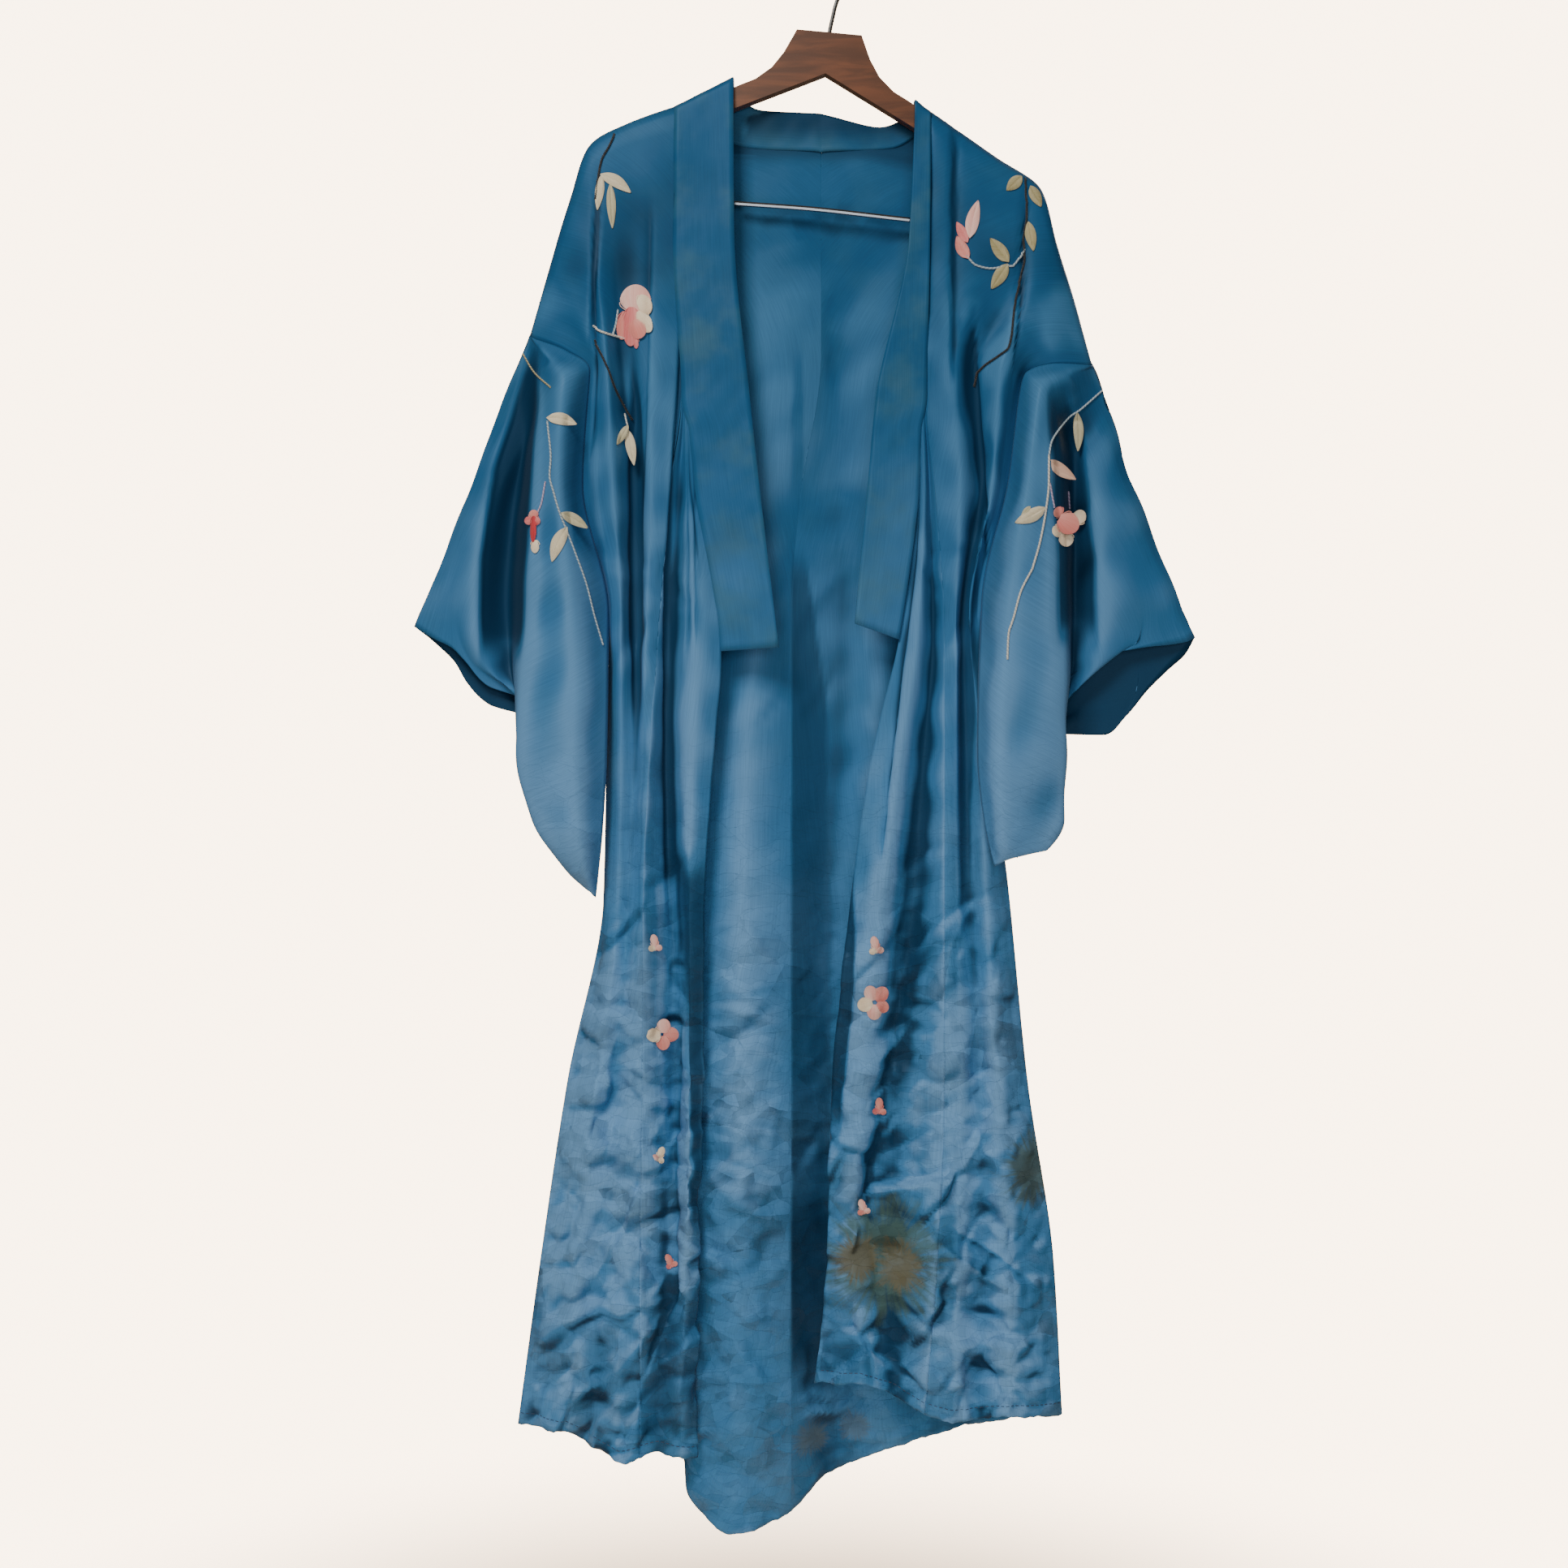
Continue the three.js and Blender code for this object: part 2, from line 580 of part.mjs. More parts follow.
const kimono = new THREE.Group();
addPiece(kimono, "body_right", bodyPanel(rightSide), silk);
addPiece(kimono, "body_left", bodyPanel(leftSide), silk);
addPiece(kimono, "okumi_right", overlapStrip(rightSide), silk);
addPiece(kimono, "okumi_left", overlapStrip(leftSide), silk);
addPiece(kimono, "collar", collar(rightSide, leftSide), wornSilk);
addPiece(kimono, "sleeve_right", sleeve(rightSide, sleeveRight), silk);
addPiece(kimono, "sleeve_left", sleeve(leftSide, sleeveLeft), silk);

const hanger = new THREE.Group();
hanger.rotation.y = hangerTilt;
addPiece(hanger, "hanger_arms", hangerArms(), wood);
addPiece(hanger, "hanger_hook", hook(), chrome);
addPiece(hanger, "hanger_bar", trouserBar(), chrome);

const part = new THREE.Group();
part.add(kimono, hanger);

export default part;
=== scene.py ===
import math
import random

import bpy
import numpy as np
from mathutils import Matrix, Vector
from mathutils.bvhtree import BVHTree


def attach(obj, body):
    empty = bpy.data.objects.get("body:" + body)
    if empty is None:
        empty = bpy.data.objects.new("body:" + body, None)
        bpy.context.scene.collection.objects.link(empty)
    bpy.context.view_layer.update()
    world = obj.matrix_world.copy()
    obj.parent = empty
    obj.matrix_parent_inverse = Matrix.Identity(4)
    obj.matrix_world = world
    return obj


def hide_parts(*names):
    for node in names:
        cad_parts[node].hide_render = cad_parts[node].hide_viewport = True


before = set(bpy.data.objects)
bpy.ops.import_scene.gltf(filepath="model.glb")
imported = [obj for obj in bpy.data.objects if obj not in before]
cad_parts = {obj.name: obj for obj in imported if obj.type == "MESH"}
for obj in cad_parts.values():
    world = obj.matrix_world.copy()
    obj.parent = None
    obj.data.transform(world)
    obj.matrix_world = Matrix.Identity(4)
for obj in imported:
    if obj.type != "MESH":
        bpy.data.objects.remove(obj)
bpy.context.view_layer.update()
mm = 0.001

# ---- camera, floor and light ----

view = {
    "distance": 1.8,
    "centre": (-0.0495, -0.77625),
    "widthAtGarment": 1.449,
    "sensor": 36.0,
    "floorHeight": -1.78,
    "floorRadius": 1.3,
    "floorFade": (0.45, 1.25),
    "backdropTint": "#F9DEC0",
    "backdropGlow": 9.0,
    "floorGlow": 0.4,
    "fillGlow": 0.12,
}

lamps = {
    # place, size, power, tint
    "keySoftbox": ((-0.8, -1.7, 1.0), 0.8, 42, "#FFF6EA"),
    "frontSoftbox": ((0.35, -2.6, -0.55), 1.1, 13, "#FFFFFF"),
    "lowFill": ((-0.3, -2.2, -1.65), 0.9, 7, "#FFFFFF"),
    "backSoftbox": ((0.9, 2.3, 0.5), 1.3, 26, "#FFFFFF"),
}


def linear(hexColour):
    parts = [int(hexColour[i : i + 2], 16) / 255 for i in (1, 3, 5)]
    return tuple(c / 12.92 if c <= 0.04045 else ((c + 0.055) / 1.055) ** 2.4 for c in parts) + (1.0,)


def addNode(tree, kind, settings=None):
    # a key is one of the node's own settings or a socket, by name or number; an output given is linked
    node = tree.nodes.new(kind)
    for key, value in (settings or {}).items():
        if isinstance(key, str) and hasattr(node, key):
            setattr(node, key, value)
        elif isinstance(value, bpy.types.NodeSocket):
            tree.links.new(value, node.inputs[key])
        else:
            node.inputs[key].default_value = value
    return node


def ramp(tree, source, low, high):
    settings = {"interpolation_type": "SMOOTHSTEP", "Value": source, "From Min": low, "From Max": high}
    return addNode(tree, "ShaderNodeMapRange", settings).outputs["Result"]


def maths(tree, operation, *values):
    return addNode(tree, "ShaderNodeMath", {"operation": operation, **dict(enumerate(values))}).outputs[0]


def vectorMaths(tree, operation, *values):
    node = addNode(tree, "ShaderNodeVectorMath", {"operation": operation, **dict(enumerate(values))})
    return node.outputs["Value" if operation in ("LENGTH", "DOT_PRODUCT") else "Vector"]


def noise(tree, place, scale, detail, more=None):
    settings = {"Vector": place, "Scale": scale, "Detail": detail, **(more or {})}
    return addNode(tree, "ShaderNodeTexNoise", settings)


def mapped(tree, place, settings):
    return addNode(tree, "ShaderNodeMapping", {"vector_type": "POINT", "Vector": place, **settings}).outputs[0]


def newMaterial(name):
    material = bpy.data.materials.new(name)
    material.use_nodes = True
    material.node_tree.nodes.clear()
    return material, material.node_tree


def surface(tree, settings):
    shader = addNode(tree, "ShaderNodeBsdfPrincipled", settings)
    addNode(tree, "ShaderNodeOutputMaterial", {"Surface": shader.outputs[0]})


def addObject(name, data):
    thing = bpy.data.objects.new(name, data)
    bpy.context.scene.collection.objects.link(thing)
    return thing


def makeCamera():
    data = bpy.data.cameras.new("frontCamera")
    data.sensor_width = view["sensor"]
    data.lens = view["sensor"] * view["distance"] / view["widthAtGarment"]
    camera = addObject("frontCamera", data)
    camera.location = (view["centre"][0], -view["distance"], view["centre"][1])
    camera.rotation_euler = (math.pi / 2, 0, 0)
    bpy.context.scene.camera = camera


def makeLight():
    for name, (place, size, power, tint) in lamps.items():
        data = bpy.data.lights.new(name, "AREA")
        data.size = size
        data.energy = power
        data.color = linear(tint)[:3]
        lamp = addObject(name, data)
        lamp.location = place
        aim = Vector((view["centre"][0], 0, view["centre"][1])) - lamp.location
        lamp.rotation_euler = aim.to_track_quat("-Z", "Y").to_euler()
    world = bpy.data.worlds.new("paleRoom")
    bpy.context.scene.world = world
    world.use_nodes = True
    tree = world.node_tree
    tree.nodes.clear()
    rays = addNode(tree, "ShaderNodeLightPath")
    glow = {"Color": linear(view["backdropTint"]), "Strength": view["fillGlow"]}
    fill = addNode(tree, "ShaderNodeBackground", glow)
    back = addNode(tree, "ShaderNodeBackground", {**glow, "Strength": view["backdropGlow"]})
    shares = {0: rays.outputs["Is Camera Ray"], 1: fill.outputs[0], 2: back.outputs[0]}
    mix = addNode(tree, "ShaderNodeMixShader", shares)
    addNode(tree, "ShaderNodeOutputWorld", {"Surface": mix.outputs[0]})


def makeFloor():
    # a pale round floor whose rim melts into the backdrop
    place = (view["centre"][0], 0, view["floorHeight"])
    reach = view["floorRadius"]
    bpy.ops.mesh.primitive_circle_add(vertices=96, radius=reach, fill_type="NGON", location=place)
    floor = bpy.context.object
    floor.name = "paleFloor"
    material, tree = newMaterial("mattePaintFloor")
    away = vectorMaths(tree, "LENGTH", addNode(tree, "ShaderNodeTexCoord").outputs["Object"])
    surface(tree, {
        "Base Color": linear(view["backdropTint"]),
        "Emission Color": linear(view["backdropTint"]),
        "Emission Strength": view["floorGlow"],
        "Roughness": 0.9,
        "Alpha": ramp(tree, away, *reversed(view["floorFade"])),
    })
    floor.data.materials.append(material)


makeCamera()
makeLight()
makeFloor()
print("camera, floor and light")

# ---- the garment's form: sections of each panel, in millimetres, as the solids have them ----

# Fronts: side, outer fold, outer crest, valley, inner crest, overlap seam, then the overlap strip's
# valley, roll and opening edge. Backs: side, four folds, centre back. Rows of x, y and z (one z where the
# row is level) run down from the shoulder.
shoulderRight = ([-283, -262, -246, -229, -195, -150], [0, 0, 0, 0, 0, 0], [-359, -286, -233, -187, -167, -151])
shoulderLeft = ([234, 217, 202, 188, 145, 85], [0, 0, 0, 0, 0, 0], [-386, -325, -277, -228, -197, -155])
foldRadius = [5, 5, 6, 8, 8.5, 8.5]
foldDrop = 5
lapStep = 0.3

frontRight = [
    ([-249, -237, -225, -206, -178, -151], [-14, -18, -18, -14, -12, -12], [-379, -340, -299, -277, -271, -277]),
    ([-227, -220, -211, -196, -170, -143, -141.5, -140, -138.5], [-14, -24, -26, -12, -20, -16, -16, -16, -16],
     [-398, -398, -400, -404, -412, -419, -419, -419, -419]),
    ([-234, -219, -206, -187, -170, -152, -145, -138, -131], [-12, -26, -28, -10, -24, -22, -16, -22, -20], -502),
    ([-210, -206, -198, -187, -175, -165, -153, -131, -107], [-8, -22, -26, -12, -26, -22, -12, -28, -22],
     [-620, -622, -626, -632, -640, -646, -650, -653, -655]),
    ([-213, -206, -198, -187, -178, -172, -157, -136, -114], [-1, -14, -22, -18, -26, -30, -12, -30, -22], -749),
    ([-216, -210, -201, -192, -184, -178, -154, -136, -122], [-1, -13, -20, -17, -22, -26, -6, -26, -20], -884),
    ([-249, -235, -220, -206, -192, -179, -151, -136, -123], [-1, -12, -20, -16, -22, -25, -6, -24, -16], -1049),
    ([-274, -256, -238, -217, -198, -181, -156, -139, -127], [-1, -14, -22, -17, -24, -27, -14, -24, -14], -1214),
    ([-295, -273, -249, -223, -200, -181, -165, -145, -128], [-1, -14, -23, -16, -26, -24, -16, -22, -12],
     [-1367, -1368, -1370, -1384, -1396, -1392, -1389, -1393, -1395]),
]
backRight = [
    ([-267, -250, -232, -207, -151, -79], [8, 9, 10, 11, 12, 14], [-370, -303, -253, -211, -192, -184]),
    ([-249, -229, -204, -159, -91, -15], [12, 12, 12, 13, 14, 15], [-379, -331, -288, -245, -215, -188]),
    ([-227, -200, -163, -114, -65, -15], [14, 14, 16, 18, 12, 18], [-398, -393, -388, -382, -376, -374]),
    ([-232, -200, -159, -114, -65, -34], [12, 16, 20, 22, 12, 20], -504),
    ([-211, -181, -148, -114, -73, -43], [8, 18, 22, 20, 6, 16], -620),
    ([-213, -181, -151, -123, -84, -44], [1, 16, 20, 12, -4, 12], -749),
    ([-216, -189, -157, -127, -88, -44], [1, 16, 20, 8, -8, 10], -884),
    ([-249, -211, -170, -129, -88, -43], [1, 16, 22, 6, -10, 10], -1049),
    ([-274, -230, -181, -130, -88, -43], [1, 18, 24, 6, -10, 10], -1214),
    ([-295, -235, -150, -131, -95, -43], [1, 18, 20, 2, -10, 8], [-1366, -1376, -1396, -1443, -1466, -1451]),
]
frontLeft = [
    ([201, 189, 175, 157, 126, 84], [-16, -20, -20, -14, -16, -14], [-391, -363, -337, -314, -292, -277]),
    ([172, 161, 148, 125, 105, 81, 79.5, 78, 76.5], [-12, -20, -26, -12, -22, -16, -16, -16, -16],
     [-398, -404, -408, -410, -413, -419, -419, -419, -419]),
    ([156, 149, 141, 131, 111, 88, 84, 79, 74], [-8, -14, -22, -10, -26, -20, -14, -20, -18], -500),
    ([132, 127, 121, 115, 107, 97, 87, 72, 55], [-6, -10, -16, -10, -24, -22, -12, -26, -20],
     [-616, -619, -622, -625, -629, -633, -637, -640, -644]),
    ([142, 136, 130, 118, 108, 97, 79, 55, 31], [-1, -12, -18, -10, -24, -26, -12, -28, -18], -749),
    ([157, 147, 135, 121, 109, 97, 70, 40, 13], [-1, -12, -20, -12, -22, -25, -8, -28, -16], -869),
    ([175, 160, 145, 129, 111, 97, 57, 21, -6], [-1, -14, -22, -14, -22, -24, -8, -22, -12], -1049),
    ([199, 177, 156, 132, 109, 90, 47, 13, -10], [-1, -16, -25, -14, -25, -26, -10, -22, -12], -1214),
    ([207, 184, 157, 130, 105, 79, 51, 21, -22], [-1, -16, -26, -15, -26, -26, -14, -22, -10],
     [-1358, -1356, -1354, -1357, -1358, -1352, -1337, -1325, -1327]),
]
backLeft = [
    ([217, 202, 189, 172, 130, 51], [9, 9, 10, 11, 12, 14], [-391, -335, -290, -248, -214, -184]),
    ([201, 186, 163, 130, 66, -15], [12, 12, 12, 13, 14, 15], [-395, -355, -318, -277, -232, -188]),
    ([172, 148, 111, 66, 2, -15], [14, 16, 18, 16, 24, 18], [-404, -403, -397, -389, -380, -374]),
    ([156, 133, 96, 51, -1, -34], [12, 18, 22, 18, 26, 20], [-502, -502, -503, -503, -504, -504]),
    ([133, 115, 81, 40, 2, -43], [8, 20, 22, 14, 26, 16], [-616, -617, -618, -619, -620, -620]),
    ([142, 115, 81, 40, -1, -44], [1, 18, 22, 16, 28, 12], -749),
    ([157, 126, 85, 36, -9, -44], [1, 18, 24, 18, 30, 10], [-869, -872, -875, -878, -881, -884]),
    ([175, 137, 88, 36, -10, -43], [1, 18, 26, 22, 32, 10], -1049),
    ([199, 152, 100, 40, -10, -43], [1, 20, 28, 22, 34, 10], -1214),
    ([207, 163, 111, 51, -5, -43], [1, 20, 28, 24, 34, 8], [-1360, -1368, -1381, -1398, -1423, -1451]),
]

# The collar's free fold, from its lower end up each front, over the shoulder and to the centre back
collarFold = {
    "right": {
        "front": [[-95, -16, -270], [-81, -22, -419], [-72, -26, -502], [-54, -28, -652]],
        "shoulder": [-96, 0, -124],
        "back": [[-73, 13, -149], [-16, 14, -152]],
    },
    "left": {
        "front": [[65, -13, -277], [35, -16, -419], [27, -20, -502], [15, -26, -630]],
        "shoulder": [71, 0, -145],
        "back": [[40, 13, -165], [-16, 14, -152]],
    },
}

# Sleeves: a row for each long fold from armhole to cuff; stations run from the top fold down the front
sleeveRight = {
    "freeFront": ([-210, -211, -215, -222], [-24, -26, -24, -16], [-682, -749, -817, -880]),
    "freeBack": ([-222, -230, -233], [8, 1, -6], [-682, -749, -817]),
    "folds": [
        ([-287, -261, -250, -253, -244, -240, -240, -237, -226], [0, -26, -38, -46, -48, -52, -54, -50, -20],
         [-370, -393, -415, -502, -610, -682, -749, -817, -875]),
        ([-294, -276, -270, -276, -278, -286, -291, -277, -244], [0, -16, -30, -42, -46, -46, -42, -38, -18],
         [-387, -404, -427, -509, -607, -682, -749, -809, -860]),
        ([-307, -294, -290, -300, -306, -303, -288, -270, -240], [0, -6, -4, 2, 2, 0, -20, -18, -11],
         [-416, -434, -457, -524, -607, -663, -719, -790, -860]),
        ([-337, -331, -329, -330, -331, -324, -279, -255, -236], [0, -8, -12, -16, -16, -12, -9, -9, -7],
         [-495, -517, -539, -584, -629, -667, -712, -783, -863]),
        ([-365, -359, -355, -352, -348, -331, -275, -249, -233], [0, -7, -9, -12, -10, -8, -5, -5, -4],
         [-562, -580, -595, -618, -640, -670, -709, -779, -866]),
        ([-391, -378, -369, -355, -343, -324, -270, -244, -230], [0, -5, -7, -9, -8, -5, -1, -1, -1],
         [-631, -639, -644, -651, -663, -685, -706, -775, -868]),
    ],
    "backDepth": [14, 14, 11, 8, 6, 5],
    "sag": [0, 2, 5, 12, 20, 17, 15, 8],
}
sleeveLeft = {
    "freeFront": ([128, 127, 133, 142], [-22, -24, -30, -30], [-682, -749, -813, -851]),
    "freeBack": ([153, 163, 165], [6, -4, -14], [-682, -749, -809]),
    "folds": [
        ([238, 208, 186, 172, 156, 150, 146, 148, 153], [0, -22, -34, -42, -46, -50, -50, -46, -34],
         [-395, -404, -419, -502, -614, -682, -749, -809, -845]),
        ([243, 220, 200, 201, 204, 205, 207, 205, 189], [0, -12, -26, -36, -38, -38, -32, -26, -28],
         [-408, -419, -442, -509, -611, -682, -749, -809, -836]),
        ([250, 235, 220, 220, 220, 217, 205, 198, 178], [0, -4, 0, 2, 2, 0, -16, -14, -24],
         [-427, -442, -472, -532, -611, -667, -727, -794, -836]),
        ([270, 259, 246, 241, 241, 240, 201, 192, 172], [0, -10, -14, -16, -16, -12, -8, -8, -20],
         [-487, -502, -532, -577, -622, -663, -715, -790, -839]),
        ([298, 291, 285, 280, 279, 261, 195, 186, 168], [0, -8, -10, -11, -10, -8, -4, -4, -17],
         [-558, -573, -588, -614, -641, -655, -712, -787, -842]),
        ([330, 322, 306, 287, 268, 246, 192, 180, 164], [0, -4, -6, -8, -8, -6, -1, -1, -15],
         [-641, -645, -648, -650, -653, -657, -704, -783, -844]),
    ],
    "backDepth": [16, 14, 11, 8, 6, 5],
    "sag": [0, 11, 23, 40, 60, 74, 26, 8],
}
backSpread = [0, 0.4, 0.7, 1, 1, 1, 1, 0.6]
bagClearance = 5
armholeEnd = 5

# ---- monotone curves and surfaces through the tables ----


def slopes(knots):
    steps = np.diff(knots, axis=0)
    tangents = np.empty_like(knots)
    tangents[0] = steps[0]
    tangents[-1] = steps[-1]
    before, after = steps[:-1], steps[1:]
    same = before * after > 0
    total = np.where(same, before + after, 1.0)
    tangents[1:-1] = np.where(same, 2 * before * after / total, 0.0)
    return tangents


def alongCurve(knots, places):
    knots = np.asarray(knots, dtype=float)
    places = np.asarray(places, dtype=float)
    tangents = slopes(knots)
    first = np.clip(np.floor(places).astype(int), 0, len(knots) - 2)
    f = (places - first).reshape((-1,) + (1,) * (knots.ndim - 1))
    g = 1 - f
    return (
        knots[first] * (1 + 2 * f) * g * g
        + tangents[first] * f * g * g
        + knots[first + 1] * (3 - 2 * f) * f * f
        - tangents[first + 1] * f * f * g
    )


def surfaceAt(rows, us, vs):
    sections = alongCurve(rows, vs)
    return alongCurve(sections.swapaxes(0, 1), us).swapaxes(0, 1)


def rowPoints(row, columns, inward=1):
    xs, ys, heights = row
    heights = heights if isinstance(heights, list) else [heights] * len(xs)
    points = [list(p) for p in zip(xs, ys, heights)]
    while len(points) < columns:
        x, y, z = points[-1]
        points.append([x + inward * lapStep, y, z])
    return points


def foldOver(shoulder, side):
    return shoulder[0], [side * r for r in foldRadius], [z - foldDrop for z in shoulder[2]]


def bodySide(shoulder, front, back, inward):
    fronts = [rowPoints(row, 9, inward) for row in [foldOver(shoulder, -1), *front]]
    backs = [rowPoints(row, 9, inward) for row in [foldOver(shoulder, 1), *back]]
    rows = np.array([*reversed(fronts), rowPoints(shoulder, 9, inward), *backs]) * mm
    return {"rows": rows, "shoulderAt": len(fronts), "last": len(rows) - 1, "inward": inward}


def hemLine(row):
    order = np.argsort(row[:, 0])
    return lambda x: np.interp(x, row[order, 0], row[order, 2])


rightSide = bodySide(shoulderRight, frontRight, backRight, 1)
leftSide = bodySide(shoulderLeft, frontLeft, backLeft, -1)
for side, name in ((rightSide, "Right"), (leftSide, "Left")):
    side["hem"] = {"front" + name: hemLine(side["rows"][0]), "back" + name: hemLine(side["rows"][-1])}

# ---- creases: soft troughs and ridges laid one by one, and the finer crumple of the skirts ----

clothSettings = {
    "wall": 0.8 * mm,
    "collarWall": 2.2 * mm,
    "seamHalfGap": -0.3 * mm,  # the seam allowances lap
    "armholeHalfGap": -0.2 * mm,
    "fineStep": 3.0 * mm,  # mesh step down the crumpled skirts
    "smoothStep": 8.5 * mm,
    "crumpleTop": -0.80,
    "crumpleFull": -1.16,
}


def unit(vectors):
    return vectors / np.maximum(np.linalg.norm(vectors, axis=-1, keepdims=True), 1e-9)


def crossNormals(grid, closed=False):
    if closed:
        wrapped = np.concatenate([grid[:, -1:], grid, grid[:, :1]], axis=1)
        across = wrapped[:, 2:] - wrapped[:, :-2]
    else:
        across = np.gradient(grid, axis=1)
    return unit(np.cross(across, np.gradient(grid, axis=0)))


def smooth(low, high, value):
    t = np.clip((value - low) / (high - low), 0, 1)
    return t * t * (3 - 2 * t)


def waves(seed, count, size, x, z):
    # a slow wandering field from a few crossed waves
    rng = random.Random(seed)
    total = np.zeros_like(x)
    for _ in range(count):
        angle = rng.uniform(0, math.pi)
        scale = 2 * math.pi / (size * rng.uniform(0.7, 1.5))
        total += np.sin((x * math.cos(angle) + z * math.sin(angle)) * scale + rng.uniform(0, 6.28))
    return total / math.sqrt(count)


crumpleSettings = {
    "x": (-0.33, 0.25),  # the region over which the cells are strewn
    "z": (-1.50, -0.10),
    "stretch": 1.9,  # cells are this much longer than wide
    "blend": 1.3 * mm,  # width over which neighbouring slants meet
    "cells": ((36 * mm, 0.10), (17 * mm, 0.07)),  # size and slant of each layer of cells
}
smallCreases = {"count": 60, "lengths": (40, 110), "widths": (5, 9), "depths": (1.2, 2.6), "steep": 0.3}
hemShape = {
    # depth, height over the hem and spread
    "pucker": (0.7 * mm, 9 * mm, 9 * mm),
    "turnedEdge": (0.9 * mm, 10.5 * mm, 1.6 * mm),
}


def crumple(x, z, seed, cell, lean):
    # cells that each lie at their own slant and meet in sharp creases, as crushed silk does
    rng = np.random.default_rng(seed)
    (x0, x1), (z0, z1) = crumpleSettings["x"], crumpleSettings["z"]
    count = int((x1 - x0) * (z1 - z0) / cell**2)
    spots = rng.uniform((x0, z0), (x1, z1), (count, 2))
    slants = rng.normal(0, lean, (count, 2))
    turns = rng.normal(0.6, 0.55, count) * rng.choice((1, -1), count, p=(0.65, 0.35))
    cosines, sines = np.cos(turns), np.sin(turns)
    height = np.zeros_like(x)
    for row in range(len(x)):
        near = np.abs(spots[:, 1] - z[row].mean()) < 4 * cell + np.ptp(z[row]) / 2
        dx = x[row][:, None] - spots[near, 0]
        dz = z[row][:, None] - spots[near, 1]
        long = (dx * cosines[near] + dz * sines[near]) / crumpleSettings["stretch"]
        wide = dz * cosines[near] - dx * sines[near]
        away = np.hypot(long, wide)
        nearest = away.min(axis=1, keepdims=True)
        weights = np.exp((nearest - away) / crumpleSettings["blend"])
        plane = dx * slants[near, 0] + dz * slants[near, 1]
        height[row] = (weights * plane).sum(1) / weights.sum(1) + 0.10 * nearest[:, 0]
    return height


def creaseField(creases, x, z):
    # each crease: a narrow ridge with a shallow trough beside it, bowed and dying out at its ends
    total = np.zeros_like(x)
    for x0, z0, x1, z1, width, depth in np.asarray(creases, dtype=float) * mm:
        run = np.array([x1 - x0, z1 - z0])
        length = float(np.hypot(*run))
        along = ((x - x0) * run[0] + (z - z0) * run[1]) / length**2
        way = 1 if int(abs(x0) * 1e5) % 2 else -1
        bow = 0.09 * length * np.sin(np.clip(along, 0, 1) * math.pi) * way
        across = (((x - x0) * run[1] - (z - z0) * run[0]) / length + bow) / width
        ends = smooth(-0.12, 0.3, along) * (1 - smooth(0.7, 1.12, along))
        ridge = np.exp(-0.8 * np.sqrt(across**2 + 0.02))
        trough = np.exp(-((across - 1.5 * way) ** 2))
        total += depth * ends * (0.9 * ridge - 0.35 * trough)
    return total


def scatterCreases(seed, spots, count, lengths, widths, depths, steep):
    # smaller creases at random spots on a panel; steep is the share that runs down rather than across
    rng = random.Random(seed)
    made = []
    for _ in range(count):
        x, z = spots[rng.randrange(len(spots))]
        angle = rng.gauss(0, 0.55) + (math.pi / 2 if rng.random() < steep else 0)
        half = rng.uniform(*lengths) / 2
        dx, dz = half * math.cos(angle), half * math.sin(angle)
        depth = rng.uniform(*depths) * rng.choice((1, -1))
        made.append([x / mm - dx, z / mm - dz, x / mm + dx, z / mm + dz, rng.uniform(*widths), depth])
    return made


def tuckField(tucks, x, z):
    # pressed tucks: the cloth steps in sharply at the line and eases back over the ease width
    total = np.zeros_like(x)
    for line, ease, depth in tucks:
        places, heights = (np.array(column[::-1]) * mm for column in zip(*line))
        across = x - np.interp(z, heights, places)
        reach = smooth(heights[0] - 0.02, heights[0] + 0.03, z)
        reach *= 1 - smooth(heights[-1] - 0.03, heights[-1] + 0.02, z)
        way = math.copysign(1, ease)
        d = across * way / (abs(ease) * mm)
        step = np.where(d > 0, np.exp(-d * 1.6), np.exp(d * 14))
        total += depth * mm * reach * step
    return total


frontTucks = {
    # lines as (x, z) from the top down, ease width (its sign is the side that eases back), depth
    "Right": [
        ([(-143, -337), (-151, -500), (-156, -560), (-159, -660), (-158, -840), (-152, -940)], 14, 4.0),
        ([(-139, -430), (-139, -520), (-138, -660)], 9, 2.5),
        ([(-131, -500), (-130, -650)], 8, 2.2),
        ([(-190, -390), (-188, -560), (-187, -700)], 12, 3.5),
        ([(-171, -250), (-174, -400), (-186, -640)], -14, 2.5),
        ([(-222, -330), (-224, -420), (-226, -470)], 14, 4.0),
        ([(-146, -1000), (-150, -1130), (-147, -1238), (-176, -1319)], -16, 4.0),
    ],
    "Left": [
        ([(84, -160), (84, -260), (82, -352)], 12, 3.0),
        ([(107, -170), (107, -280), (106, -400)], 12, 3.0),
        ([(80, -422), (76, -482), (71, -562), (65, -617), (58, -670), (52, -725), (46, -775), (40, -848)], -16, 5.0),
        ([(66, -937), (52, -1020), (38, -1102), (32, -1177)], -10, 2.5),
        ([(124, -350), (132, -460), (137, -540), (141, -620)], -14, 3.0),
        ([(172, -230), (166, -330), (160, -390)], 10, 4.5),
    ],
}

